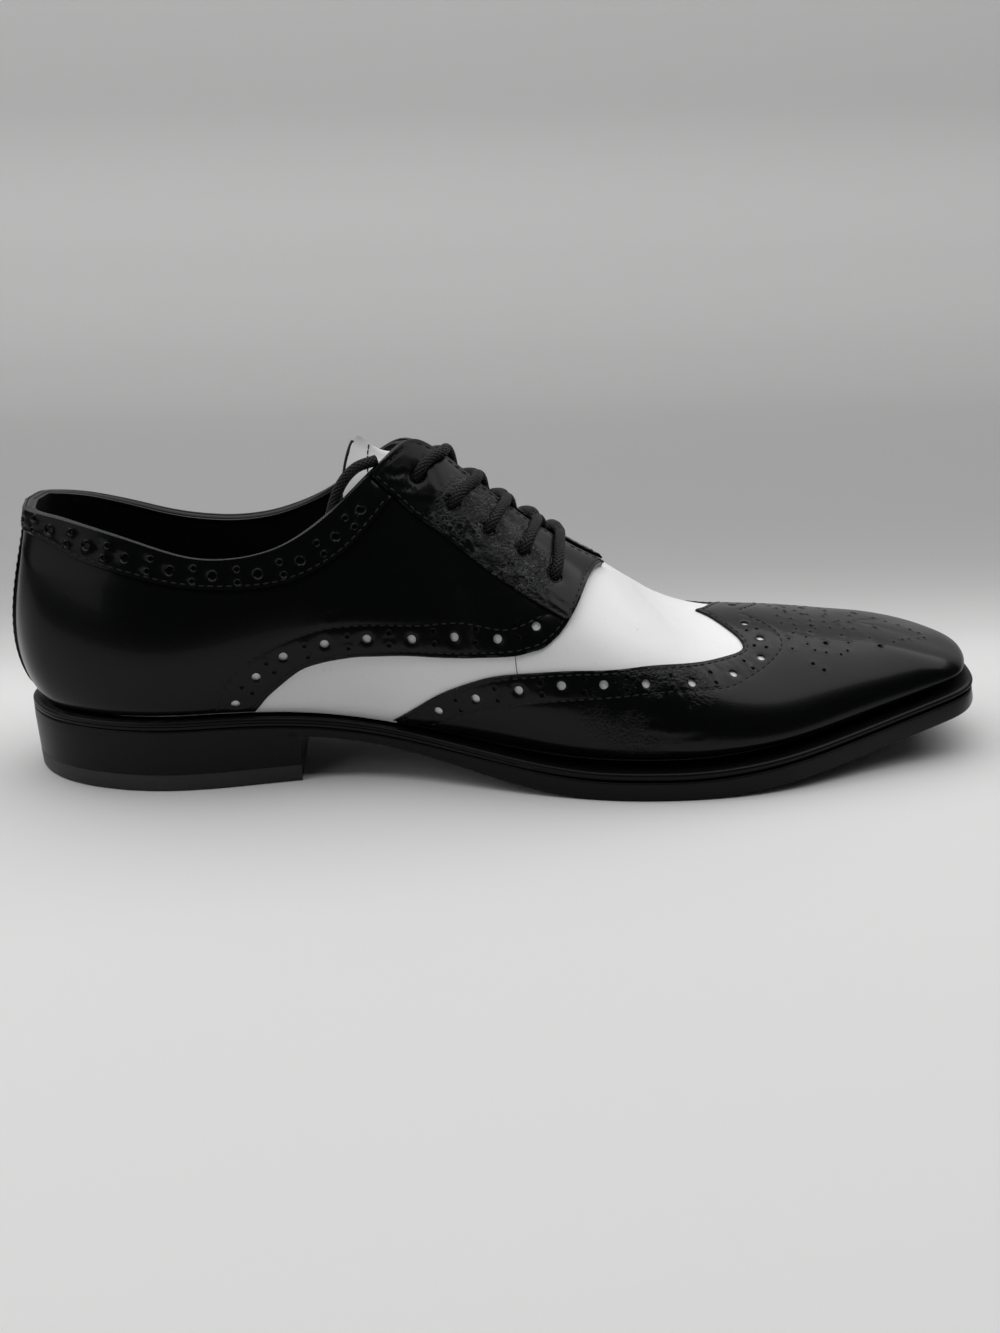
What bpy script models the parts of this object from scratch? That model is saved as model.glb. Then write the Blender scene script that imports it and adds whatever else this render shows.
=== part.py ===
"""Men's spectator shoe for the right foot, black and white, with a long squared toe.

Metres, +X to the toe, +Y to the inner side of the foot, +Z up. The origin is on the floor
under the middle of the heel, and the shoe stands on its heel and the ball of its sole.
"""

import bmesh
import bpy
import numpy as np
from mathutils.geometry import delaunay_2d_cdt

# Driving sizes of the last
LENGTH = 0.304  # of the feather line, where the upper meets the sole
BALL_WIDTH = 0.099  # the width that the half widths in the rib table are shares of
INSTEP = 0.095  # the height that the rises in the rib table are shares of
TOE_SPRING = 0.0162  # rise of the toe over the floor
TOE_SHIFT = 0.003  # of the toe's tip towards the inner side
ARCH_START, ARCH_END = 0.185, 0.585  # shares of LENGTH: the seat ends, the tread starts
SPRING_START = 0.66  # share of LENGTH: the tread ends

# Sole and heel
HEEL_HEIGHT = 0.0169  # floor to the outsole at the heel
TOP_PIECE = 0.0056
HEEL_LENGTH = 0.085  # back of the last to the heel breast
HEEL_TAPER = 0.0008
OUTSOLE_REAR, OUTSOLE_FORE = 0.0032, 0.0072
WELT = 0.0028
WELT_WIDTH = 0.013
GROOVE_DEPTH, GROOVE_HEIGHT = 0.0012, 0.0010
EDGE_REAR, EDGE_FORE = 0.0015, 0.0034  # how far the sole stands out past the upper
WIDENS_START, WIDENS_END = 0.33, 0.52  # shares of LENGTH between which it goes from one to other
THICKENS_START = 0.35  # share of LENGTH from which the outsole thickens, up to ARCH_END
GROOVE_START, GROOVE_END = 0.45, 0.60  # shares of LENGTH between which the groove deepens
SPINE_START, SPINE_END = 0.10, 0.88  # shares of LENGTH: the line that the welt's width points to
INSOLE = 0.0024
INSOLE_CLEARANCE = 0.0016  # to the upper's inner face, all round

# Upper
WALL = 0.0018  # vamp and lining together
LEATHER = 0.0009  # each piece laid over them
TONGUE = 0.0019
SEAM = 0.0003  # between pieces that lie edge to edge
GAP = 0.0003  # between pieces that lie face to face
HEM = 0.015  # share of a rib that overlays stop short of the sole

# Lace
LACE = 0.0034
LACE_CLEARANCE = 0.0008  # over the facings

SEAT = HEEL_HEIGHT + OUTSOLE_REAR + WELT + 3 * GAP  # feather line over the floor at the heel
TREAD = OUTSOLE_FORE + WELT + 2 * GAP  # and at the ball
HEEL_CENTRE = HEEL_LENGTH / 2

# The last's ribs from the back of the heel to the toe's tip, one row each. A rib climbs from
# the feather line to the top line. Shares of LENGTH: foot and top, where it starts and ends.
# Shares of BALL_WIDTH: outer and inner half widths of the foot, opening at the top, belly (how
# far the wall bulges) and crown (how wide the top is). Shares of INSTEP: outer and inner rise.
# Shares of the rib's own height: lift and drop, how upright it is at its foot and its top.
# fan is 1 where the ribs turn round the heel or the toe, and 0 where they cross the ridge.
RIB_COLUMNS = ("foot", "outer", "inner", "top", "opening", "outer_rise", "inner_rise",
               "belly", "lift", "crown", "drop", "fan")
RIBS = (
    (0.000, 0.000, 0.000, 0.008, 0.000, 0.660, 0.660, 0.128, 0.30, 0.030, 0.30, 1.0),
    (0.018, 0.140, 0.140, 0.017, 0.120, 0.656, 0.656, 0.122, 0.30, 0.035, 0.30, 1.0),
    (0.060, 0.245, 0.245, 0.062, 0.205, 0.636, 0.628, 0.095, 0.30, 0.050, 0.30, 1.0),
    (0.130, 0.310, 0.305, 0.125, 0.255, 0.580, 0.565, 0.070, 0.32, 0.060, 0.30, 1.0),
    (0.210, 0.300, 0.310, 0.195, 0.275, 0.518, 0.522, 0.060, 0.34, 0.060, 0.30, 1.0),
    (0.290, 0.262, 0.275, 0.265, 0.255, 0.555, 0.565, 0.060, 0.34, 0.070, 0.30, 1.0),
    (0.360, 0.265, 0.250, 0.325, 0.195, 0.690, 0.690, 0.065, 0.34, 0.090, 0.28, 1.0),
    (0.420, 0.306, 0.255, 0.375, 0.105, 0.850, 0.850, 0.075, 0.34, 0.130, 0.22, 0.6),
    (0.480, 0.368, 0.290, 0.415, 0.034, 0.910, 0.890, 0.085, 0.34, 0.150, 0.14, 0.3),
    (0.540, 0.430, 0.340, 0.480, 0.036, 0.775, 0.765, 0.080, 0.36, 0.200, 0.06, 0.1),
    (0.600, 0.474, 0.395, 0.545, 0.032, 0.640, 0.640, 0.070, 0.40, 0.230, 0.02, 0.0),
    (0.660, 0.488, 0.440, 0.605, 0.000, 0.525, 0.525, 0.060, 0.44, 0.240, 0.00, 0.0),
    (0.720, 0.476, 0.462, 0.655, 0.000, 0.408, 0.408, 0.050, 0.48, 0.240, 0.00, 0.0),
    (0.780, 0.432, 0.448, 0.710, 0.000, 0.337, 0.337, 0.045, 0.50, 0.240, 0.00, 0.0),
    (0.840, 0.360, 0.405, 0.770, 0.000, 0.302, 0.302, 0.040, 0.55, 0.220, 0.00, 0.0),
    (0.900, 0.290, 0.345, 0.825, 0.000, 0.256, 0.256, 0.035, 0.60, 0.200, 0.00, 0.0),
    (0.950, 0.240, 0.280, 0.860, 0.000, 0.222, 0.222, 0.022, 0.64, 0.200, 0.00, 0.6),
    (0.983, 0.168, 0.200, 0.875, 0.000, 0.206, 0.206, 0.014, 0.66, 0.205, 0.00, 1.0),
    (1.000, 0.000, 0.000, 0.877, 0.000, 0.204, 0.204, 0.006, 0.66, 0.205, 0.00, 1.0),
)
TIP = len(RIBS) - 1  # ribs 0 to TIP are the outer side, and TIP to 2 TIP the inner, backwards
TOE_SLOPE = -0.17  # of the ridge where the toe's ribs fan out
RIDGE_BEND = (0.35, 0.85)  # shares of LENGTH between which the ridge runs to the inner side

# Each outline goes through these points: a rib's number from the heel, and the share of the
# way up it. They are the outer side's, and the inner side has their mirror.
QUARTER_EDGE = ((4.33, HEM), (4.53, 0.14), (4.93, 0.28), (5.30, 0.325), (5.80, 0.335),
                (6.85, 0.29), (8.38, 0.315), (8.93, 0.365), (9.50, 0.455))
QUARTER_FRONT = ((9.50, 0.455), (9.78, 0.53), (10.20, 0.67), (10.93, 0.965))
FACING_SEAM = ((6.65, 1.0), (7.10, 0.835), (7.65, 0.685), (8.43, 0.585), (9.08, 0.545),
               (9.66, 0.515))
BAND_EDGE = ((0.30, 0.905), (1.43, 0.88), (2.27, 0.82), (3.20, 0.80), (4.17, 0.81),
             (5.10, 0.79), (6.18, 0.775), (6.98, 0.80))
WING_EDGE = ((6.23, HEM), (6.65, 0.11), (7.30, 0.195), (8.30, 0.265), (9.38, 0.34),
             (10.45, 0.40), (11.83, 0.52), (12.62, 0.605), (13.12, 0.66), (13.28, 0.74),
             (13.24, 0.86), (13.08, 0.94), (12.88, 1.0))
FACING_EDGE_RIB = 10.10  # where the facing's edge leaves the throat for its front corner
STRIP_RIB = 0.28  # half width of the back strip, in ribs
EYELETS = ((7.80, 0.80), (8.33, 0.74), (8.80, 0.71), (9.30, 0.70), (9.78, 0.67))
LACE_LEANS = (0.47, 0.47, 0.47, 0.47, 0.22)  # ribs towards the toe, from eyelet to throat


# The tongue hangs free of the facings towards its end. First table: the rib of a row, and how
# far it lies below the upper's inner face. Second: rows past those, moved from the last one.
# Its columns say how far a row goes back and up in the middle, and back, up and in at the edges.
TONGUE_ROWS = ((10.7, 0.0), (10.2, 0.0), (9.7, 0.0), (9.2, 0.0002), (8.7, 0.0008), (8.2, 0.0018),
               (7.8, 0.0030))
TONGUE_UPS = (0.70, 0.78, 0.86, 0.93, 1.0)
TONGUE_END = (
    (0.0077, 0.0011, 0.0105, 0.0045, 0.0022),
    (0.0125, 0.0040, 0.0180, 0.0080, 0.0042),
    (0.0152, 0.0060, 0.0245, 0.0110, 0.0062),
)
# The loose end's way from behind the top of the outer facing down to the insole
LACE_END = ((0.0690, -0.0094, 0.0977), (0.0629, -0.0120, 0.0961), (0.0584, -0.0135, 0.0916),
            (0.0555, -0.0147, 0.0848), (0.0538, -0.0170, 0.0770), (0.0528, -0.0195, 0.0690),
            (0.0522, -0.0212, 0.0600), (0.0522, -0.0220, 0.0500), (0.0520, -0.0218, 0.0400),
            (0.0495, -0.0208, 0.0318), (0.0430, -0.0192, 0.0272), (0.0345, -0.0176, 0.0280),
            (0.0265, -0.0160, 0.0284))

COLUMNS_PER_RIB, ROWS = 2, 9
GRID_COLUMNS = 2 * TIP * COLUMNS_PER_RIB


def column(name):
    return np.array([row[RIB_COLUMNS.index(name)] for row in RIBS], float)


def ramp(value, start, end):
    """0 before start and 1 after end, with a smooth climb between."""
    t = np.clip((value - start) / (end - start), 0, 1)
    return t * t * (3 - 2 * t)


def feather_height(along):
    """Height of the feather line at a share of LENGTH: seat, arch, tread and toe spring."""
    arch = 1 - ramp(along, ARCH_START, ARCH_END)
    spring = np.clip((along - SPRING_START) / (1 - SPRING_START), 0, None) ** 1.7
    return TREAD + (SEAT - TREAD) * arch + TOE_SPRING * spring


def both_sides(outer, inner):
    """A value for each rib all the way round: out along the outer side, back the inner."""
    return np.concatenate([outer, inner[-2:0:-1]])


def hermite(values, slopes, ribs):
    start = np.floor(ribs).astype(int)
    t = ribs - start
    a, b = start % len(values), (start + 1) % len(values)
    return (values[a] * (2 * t**3 - 3 * t**2 + 1) + slopes[a] * (t**3 - 2 * t**2 + t)
            + values[b] * (3 * t**2 - 2 * t**3) + slopes[b] * (t**3 - t**2))


def smooth(values, ribs):
    """The closed cubic spline through the ribs' values."""
    count = len(values)
    step = np.roll(np.eye(count), 1, axis=1)
    matrix = 4 * np.eye(count) + step + step.T
    slopes = np.linalg.solve(matrix, 3 * (np.roll(values, -1) - np.roll(values, 1)))
    return hermite(values, slopes, ribs)


def steady(values, ribs):
    """As smooth, but it never passes the values on either side: what is 0 stays 0."""
    ahead = np.roll(values, -1) - values
    behind = np.roll(ahead, 1)
    total = np.where(ahead + behind == 0, 1, ahead + behind)
    slopes = np.where(ahead * behind > 0, 2 * ahead * behind / total, 0)
    return hermite(values, slopes, ribs)


def sides(name, ribs, curve=smooth):
    return curve(both_sides(column(name), column(name)), ribs)


def foot_line(ribs, margin=0.0):
    """Plan of the feather line, moved out by margin, with the outward direction."""
    half = both_sides(-column("outer"), column("inner")) * BALL_WIDTH
    half[TIP] = TOE_SHIFT
    step = 1e-3

    def plan(at):
        return np.stack([sides("foot", at) * LENGTH - HEEL_CENTRE, smooth(half, at)], -1)

    tangent = plan(ribs + step) - plan(ribs - step)
    outward = np.stack([tangent[..., 1], -tangent[..., 0]], -1)
    outward /= np.linalg.norm(outward, axis=-1, keepdims=True)
    return plan(ribs) + outward * np.reshape(margin, (-1, 1)), outward


def along_of(plan):
    return (plan[..., 0] + HEEL_CENTRE) / LENGTH


def last_points(ribs, ups):
    """Points on the last: ribs and ups are arrays of one length."""
    plan, outward = foot_line(ribs)
    foot = np.concatenate([plan, feather_height(along_of(plan))[:, None]], -1)
    along = sides("top", ribs, steady)
    outer = (np.mod(ribs, 2 * TIP) < TIP) & (np.mod(ribs, 2 * TIP) > 0)
    ridge = TOE_SHIFT * np.clip((along - RIDGE_BEND[0]) / (RIDGE_BEND[1] - RIDGE_BEND[0]), 0, 1)
    opening = sides("opening", ribs, steady) * BALL_WIDTH * np.where(outer, -1, 1)
    tilt = (column("outer_rise") - column("inner_rise")) / 2
    rise = sides("outer_rise", ribs) - smooth(both_sides(tilt, tilt), ribs)
    rise = (rise + steady(both_sides(tilt, -tilt), ribs)) * INSTEP
    top = np.stack([along * LENGTH - HEEL_CENTRE, ridge + opening,
                    feather_height(along) + rise], -1)
    height = top[:, 2] - foot[:, 2]
    belly = sides("belly", ribs) * BALL_WIDTH
    low = foot + np.column_stack([outward * belly[:, None], sides("lift", ribs) * height])
    across = np.column_stack([outward[:, 0] * sides("fan", ribs, steady), outward[:, 1]])
    across *= (sides("crown", ribs) * BALL_WIDTH / np.linalg.norm(across, axis=1))[:, None]
    toe = np.where(ribs % (2 * TIP) > TIP, 2 * TIP - ribs % (2 * TIP), ribs % (2 * TIP))
    slope = TOE_SLOPE * (toe > TIP - 5) * across[:, 0]
    high = top + np.column_stack([across, slope - sides("drop", ribs) * height])
    t = ups[:, None]
    return (foot * (1 - t)**3 + 3 * low * t * (1 - t)**2 + 3 * high * t**2 * (1 - t)
            + top * t**3)


def same_points(points):
    """For each point, the number of its place, so that points in one place share it."""
    return np.unique(np.round(points * 1e7), axis=0, return_inverse=True)[1].reshape(-1)


def grid_triangles():
    """The grid's triangles as corners (column, row), facing out."""
    found = []
    for c in range(GRID_COLUMNS):
        for r in range(ROWS):
            a, b = c * (ROWS + 1) + r, (c + 1) % GRID_COLUMNS * (ROWS + 1) + r
            found += [(a, b, b + 1), (a, b + 1, a + 1)]
    return np.array(found)


def make_last():
    """The grid on the last and its outward directions, each (columns, rows, 3)."""
    ribs, ups = np.meshgrid(np.arange(GRID_COLUMNS) / COLUMNS_PER_RIB,
                            np.linspace(0, 1, ROWS + 1), indexing="ij")
    points = last_points(ribs.ravel(), ups.ravel())
    place = same_points(points)
    corners = points[grid_triangles()]
    facing = np.cross(corners[:, 1] - corners[:, 0], corners[:, 2] - corners[:, 0])
    total = np.zeros((place.max() + 1, 3))
    for k in range(3):
        np.add.at(total, place[grid_triangles()[:, k]], facing)
    total /= np.linalg.norm(total, axis=1, keepdims=True)
    shape = (GRID_COLUMNS, ROWS + 1, 3)
    return points.reshape(shape), total[place].reshape(shape)


LAST, OUTWARD = make_last()


def on_last(columns, rows, depth):
    """Points on the last's facets, depth out from it, at grid columns and rows."""
    points = LAST + OUTWARD * depth
    c, r = np.floor(columns).astype(int), np.minimum(np.floor(rows).astype(int), ROWS - 1)
    s, t = (columns - c)[:, None], (rows - r)[:, None]
    c, d = c % GRID_COLUMNS, (c + 1) % GRID_COLUMNS
    corner, far = points[c, r], points[d, r + 1]
    return np.where(s >= t, corner + s * (points[d, r] - corner) + t * (far - points[d, r]),
                    corner + t * (points[c, r + 1] - corner) + s * (far - points[c, r + 1]))


def material(name, colour, roughness, metallic=0.0):
    made = bpy.data.materials.new(name)
    made.use_nodes = True
    shader = made.node_tree.nodes["Principled BSDF"]
    shader.inputs["Base Color"].default_value = (*colour, 1)
    shader.inputs["Roughness"].default_value = roughness
    shader.inputs["Metallic"].default_value = metallic
    return made


def add_object(name, points, faces, finish, holder):
    """A mesh object with its points welded and its faces turned out."""
    mesh = bpy.data.meshes.new(name)
    bm = bmesh.new()
    verts = [bm.verts.new(point) for point in points]
    for face in faces:
        corners = [verts[k] for k in face]
        if len({tuple(np.round(v.co, 7)) for v in corners}) > 2:
            bm.faces.new(corners)
    bmesh.ops.remove_doubles(bm, verts=bm.verts, dist=1e-6)
    bmesh.ops.delete(bm, geom=[v for v in bm.verts if not v.link_faces], context="VERTS")
    bmesh.ops.recalc_face_normals(bm, faces=bm.faces)
    bm.to_mesh(mesh)
    bm.free()
    mesh.materials.append(finish)
    mesh.shade_smooth()
    mesh.set_sharp_from_angle(angle=np.radians(40))
    made = bpy.data.objects.new(name, mesh)
    holder.objects.link(made)
    return made


def spline(points, steps=3):
    """A smooth run through the points of an outline."""
    points = np.array(points)
    ends = np.vstack([2 * points[0] - points[1], points, 2 * points[-1] - points[-2]])
    slopes = (ends[2:] - ends[:-2]) / 2
    found = [points[0]]
    for a in range(len(points) - 1):
        for t in np.arange(1, steps + 1) / steps:
            found.append(points[a] * (2 * t**3 - 3 * t**2 + 1) + slopes[a] * (t**3 - 2 * t**2 + t)
                         + points[a + 1] * (3 * t**2 - 2 * t**3)
                         + slopes[a + 1] * (t**3 - t**2))
    return found


def mirrored(outline):
    return [(2 * TIP - rib, up) for rib, up in outline][::-1]


def cut_panel(outline):
    """The part of the last's grid inside an outline of ribs and shares, as points and faces."""
    outline = np.array(outline) * (COLUMNS_PER_RIB, ROWS)
    low, high = np.floor(outline.min(axis=0)), np.ceil(outline.max(axis=0))
    points = [tuple(p) for p in outline]
    edges = [(k, (k + 1) % len(points)) for k in range(len(points))]
    lines = [((c, low[1]), (c, high[1])) for c in np.arange(low[0], high[0] + 1)]
    lines += [((low[0], r), (high[0], r)) for r in np.arange(low[1], high[1] + 1)]
    for shift in np.arange(low[0] - high[1], high[0] - low[1] + 1):
        start, end = max(low[0], low[1] + shift), min(high[0], high[1] + shift)
        if start < end:
            lines.append(((start, start - shift), (end, end - shift)))
    for a, b in lines:
        edges.append((len(points), len(points) + 1))
        points += [a, b]
    face = list(range(len(outline)))
    verts, _, faces, _, _, inside = delaunay_2d_cdt(points, edges, [face], 0, 1e-5)
    return np.array([tuple(v) for v in verts]), [f for f, found in zip(faces, inside) if found]


def panel(name, outline, low, high, finish, holder):
    """A piece of leather laid on the last from depth low to depth high, inside its outline."""
    flat, faces = cut_panel(outline)
    under = on_last(flat[:, 0], flat[:, 1], low)
    over = on_last(flat[:, 0], flat[:, 1], high)
    place = same_points(under)
    kept, sides_used = [], {}
    for a, b, c in faces:
        if len({place[a], place[b], place[c]}) < 3:
            continue
        if np.cross(flat[b] - flat[a], flat[c] - flat[a]) < 0:
            b, c = c, b
        kept.append((a, b, c))
        for edge in ((a, b), (b, c), (c, a)):
            sides_used.setdefault(frozenset(place[list(edge)].tolist()), []).append(edge)
    count = len(flat)
    solid = [(a + count, b + count, c + count) for a, b, c in kept]
    solid += [(c, b, a) for a, b, c in kept]
    for used in sides_used.values():
        if len(used) == 1:
            a, b = used[0]
            solid.append((a, b, b + count, a + count))
    return add_object(name, np.vstack([under, over]), solid, finish, holder)


def make_upper(finish, holder):
    """The shell: the surface of the last, thickened inwards."""
    upper = add_object("upper", LAST.reshape(-1, 3), grid_triangles(), finish, holder)
    wall = upper.modifiers.new("wall", "SOLIDIFY")
    wall.thickness = WALL
    wall.offset = -1
    return upper


def make_overlays(black, soft, holder):
    """The black leather laid over the upper: quarters, wing cap, then what lies on the quarters."""
    first = (GAP, GAP + LEATHER)
    second = (first[1] + GAP, first[1] + GAP + LEATHER)
    seam = SEAM / 2 / (BALL_WIDTH / 6)  # half a seam in ribs, which are so far apart at the back
    front = spline(QUARTER_FRONT)
    quarter = [(seam, HEM), *spline(QUARTER_EDGE), *front[1:], (FACING_EDGE_RIB, 1),
               (seam, 1)]
    facing = [*spline(FACING_SEAM), *[p for p in front if p[1] > FACING_SEAM[-1][1]],
              (FACING_EDGE_RIB, 1)]
    strip = [(-STRIP_RIB, HEM), (STRIP_RIB, HEM), (STRIP_RIB, 1), (-STRIP_RIB, 1)]
    start = STRIP_RIB + 2 * seam
    edge = spline(BAND_EDGE)
    band = [(start, BAND_EDGE[0][1]), *[p for p in edge if p[0] > start],
            (FACING_SEAM[0][0] - 4 * seam, 1), (start, 1)]
    wing = spline(WING_EDGE)[::-1]
    wing = mirrored(wing) + wing
    for side, turned in (("outer", list), ("inner", mirrored)):
        panel(f"quarter_{side}", turned(quarter), *first, black, holder)
        panel(f"facing_{side}", turned(facing), *second, soft, holder)
        panel(f"collar_band_{side}", turned(band), *second, black, holder)
    panel("wing_cap", wing, *first, black, holder)
    panel("back_strip", strip, *second, black, holder)


def slab(layers):
    """Two layers of rows of points, the under one first, closed to a solid."""
    rows, wide = layers[0].shape[:2]

    def at(layer, row, place):
        return (layer * rows + row) * wide + place

    faces = []
    for row in range(rows - 1):
        for k in range(wide - 1):
            for layer in (0, 1):
                faces.append([at(layer, row, k), at(layer, row + 1, k),
                              at(layer, row + 1, k + 1), at(layer, row, k + 1)])
        for k in (0, wide - 1):
            faces.append([at(0, row, k), at(0, row + 1, k), at(1, row + 1, k), at(1, row, k)])
    for row in (0, rows - 1):
        for k in range(wide - 1):
            faces.append([at(0, row, k), at(0, row, k + 1), at(1, row, k + 1), at(1, row, k)])
    return np.vstack([layer.reshape(-1, 3) for layer in layers]), faces


def plate(name, margins, low, high, finish, holder, across=3):
    """A level of the sole: margins and heights of its underside and its top, along the foot."""
    stations = np.arange(0, TIP + 0.25, 0.5)
    share = np.linspace(0, 1, across + 1)[None, :, None]
    layers = []
    for margin, height in zip(margins, (low, high)):
        outer, _ = foot_line(stations, margin(along_of(foot_line(stations)[0])))
        inner_ribs = 2 * TIP - stations
        inner, _ = foot_line(inner_ribs, margin(along_of(foot_line(inner_ribs)[0])))
        plan = outer[:, None] * (1 - share) + inner[:, None] * share
        layers.append(np.concatenate([plan, height(along_of(plan))[..., None]], -1))
    points, faces = slab(layers)
    return add_object(name, points, faces, finish, holder)


def edge_margin(along):
    """How far the sole stands out past the upper: more at the front than at the heel."""
    return EDGE_REAR + (EDGE_FORE - EDGE_REAR) * ramp(along, WIDENS_START, WIDENS_END)


def welt_under(along):
    return feather_height(along) - GAP - WELT


def outsole_top(along):
    return welt_under(along) - GAP


def outsole_under(along):
    thick = OUTSOLE_REAR + (OUTSOLE_FORE - OUTSOLE_REAR) * ramp(along, THICKENS_START, ARCH_END)
    return np.maximum(outsole_top(along) - thick, 0)


def make_sole(edge, holder):
    plate("outsole", (edge_margin, edge_margin), outsole_under, outsole_top, edge, holder)


def make_insole(finish, holder):
    def inset(along):
        return -(WALL + INSOLE_CLEARANCE) + 0 * along

    plate("insole", (inset, inset), feather_height, lambda along: feather_height(along) + INSOLE,
          finish, holder)


def make_welt(finish, holder):
    """The strip round the shoe between upper and outsole, grooved under its edge in front."""
    ribs = np.arange(0, 2 * TIP, 0.5)
    plan, _ = foot_line(ribs)
    along = along_of(plan)
    rim, _ = foot_line(ribs, edge_margin(along))
    groove = GROOVE_DEPTH * ramp(along, GROOVE_START, GROOVE_END)
    back, _ = foot_line(ribs, edge_margin(along) - groove)
    spine = np.column_stack([np.clip(plan[:, 0], SPINE_START * LENGTH - HEEL_CENTRE,
                                     SPINE_END * LENGTH - HEEL_CENTRE), 0 * along])
    spine[:, 1] = TOE_SHIFT * np.clip(along, 0, 1)
    inward = spine - plan
    inner = plan + inward * (WELT_WIDTH / np.linalg.norm(inward, axis=1))[:, None]
    section = []
    for outline, height in ((inner, WELT), (rim, WELT), (rim, GROOVE_HEIGHT),
                            (back, GROOVE_HEIGHT), (back, 0), (inner, 0)):
        section.append(np.column_stack([outline, welt_under(along_of(outline)) + height]))
    points = np.stack(section, 1)
    count, sides_round = points.shape[:2]
    faces = []
    for a in range(count):
        for k in range(sides_round):
            b, m = (a + 1) % count, (k + 1) % sides_round
            faces.append([a * sides_round + k, b * sides_round + k, b * sides_round + m,
                          a * sides_round + m])
    add_object("welt", points.reshape(-1, 3), faces, finish, holder)


def make_heel(finish, rubber, holder, cutters):
    """Heel block and top piece, both cut straight across at the breast."""
    def tapered(depth):
        return lambda along: edge_margin(along) - HEEL_TAPER * depth

    def flat(height):
        return lambda along: height + 0 * along

    joint = TOP_PIECE / HEEL_HEIGHT
    block = plate("heel", (tapered(1 - joint), tapered(0)), flat(TOP_PIECE + GAP),
                  lambda along: outsole_under(along) - GAP, finish, holder)
    piece = plate("top_piece", (tapered(1), tapered(1 - joint)), flat(0), flat(TOP_PIECE),
                  rubber, holder)
    bpy.ops.mesh.primitive_cube_add(size=LENGTH)
    cutter = bpy.context.object
    cutter.name = "breast_cutter"
    cutter.location = (HEEL_LENGTH - HEEL_CENTRE + LENGTH / 2, 0, 0)
    cutter.hide_render = True
    cutter.display_type = "WIRE"
    for holding in list(cutter.users_collection):
        holding.objects.unlink(cutter)
    cutters.objects.link(cutter)
    for made in (block, piece):
        cut = made.modifiers.new("breast", "BOOLEAN")
        cut.operation = "DIFFERENCE"
        cut.object = cutter


def across_throat(rib, ups, depth):
    """Points from the outer side over the throat to the inner, at one rib and depth."""
    ups = np.array(ups)
    outer = on_last(np.full(len(ups), rib * COLUMNS_PER_RIB), ups * ROWS, depth)
    inner = on_last(np.full(len(ups), (2 * TIP - rib) * COLUMNS_PER_RIB), ups * ROWS, depth)
    middle = (outer[-1:] + inner[-1:]) / 2
    return np.vstack([outer, middle, inner[::-1]])


def make_tongue(finish, holder):
    """A curved strip under the throat, from the vamp to past the top of the facings."""
    edge = np.abs(np.linspace(-1, 1, 2 * len(TONGUE_UPS) + 1))
    side = np.sign(np.linspace(-1, 1, 2 * len(TONGUE_UPS) + 1))
    layers = []
    for depth in (-WALL - GAP - TONGUE, -WALL - GAP):
        rows = [across_throat(rib, TONGUE_UPS, depth - sunk) for rib, sunk in TONGUE_ROWS]
        last = rows[-1]
        for back, up, edge_back, edge_up, edge_in in TONGUE_END:
            rows.append(last + np.column_stack([-back - (edge_back - back) * edge,
                                                -side * edge * edge_in,
                                                up + (edge_up - up) * edge]))
        layers.append(np.array(rows))
    points, faces = slab(layers)
    add_object("tongue", points, faces, finish, holder)


def add_tube(name, points, diameter, finish, holder):
    curve = bpy.data.curves.new(name, "CURVE")
    curve.dimensions = "3D"
    curve.bevel_depth = diameter / 2
    curve.bevel_resolution = 2
    curve.use_fill_caps = True
    run = curve.splines.new("POLY")
    run.points.add(len(points) - 1)
    for point, place in zip(run.points, points):
        point.co = (*place, 1)
    curve.materials.append(finish)
    holder.objects.link(bpy.data.objects.new(name, curve))


def make_lace(finish, holder):
    """A bar over the lowest pair of eyelets, a crossing at each other pair, and a loose end."""
    depth = 2 * (GAP + LEATHER) + LACE_CLEARANCE + LACE / 2
    for number, ((rib, up), lean) in enumerate(zip(EYELETS[::-1], LACE_LEANS[::-1])):
        ends = []
        for share in (0, 0.5, 1):
            ends.append(across_throat(rib + lean * share, [up + (1 - up) * share], depth))
        outer = [end[0] for end in ends]
        inner = [end[-1] for end in ends]
        run = [*outer, ends[-1][1], *inner[::-1]]
        name = f"lace_crossing_{number}" if number else "lace_bar"
        add_tube(name, run, LACE, finish, holder)
    add_tube("lace_end", LACE_END, LACE, finish, holder)


def main():
    for old in list(bpy.data.objects):
        bpy.data.objects.remove(old)
    shoe = bpy.data.collections.new("spectator_shoe")
    cutters = bpy.data.collections.new("cutters")
    for made in (shoe, cutters):
        bpy.context.scene.collection.children.link(made)
    white = material("white leather", (0.80, 0.80, 0.79), 0.35)
    black = material("black leather", (0.012, 0.014, 0.015), 0.28)
    soft = material("soft black leather", (0.010, 0.011, 0.012), 0.42)
    edge = material("sole edge", (0.010, 0.010, 0.011), 0.38)
    rubber = material("top piece rubber", (0.009, 0.009, 0.010), 0.55)
    cord = material("lace", (0.008, 0.008, 0.008), 0.6)
    sock = material("insole leather", (0.015, 0.014, 0.014), 0.6)
    make_sole(edge, shoe)
    make_welt(edge, shoe)
    make_heel(edge, rubber, shoe, cutters)
    make_insole(sock, shoe)
    make_upper(white, shoe)
    make_overlays(black, soft, shoe)
    make_tongue(white, shoe)
    make_lace(cord, shoe)


main()
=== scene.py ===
"""A men's spectator shoe for the right foot, black and white, dressed for its portrait."""

import bmesh
import bpy
import numpy as np
from mathutils import Matrix, Vector
from mathutils.geometry import delaunay_2d_cdt


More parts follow.
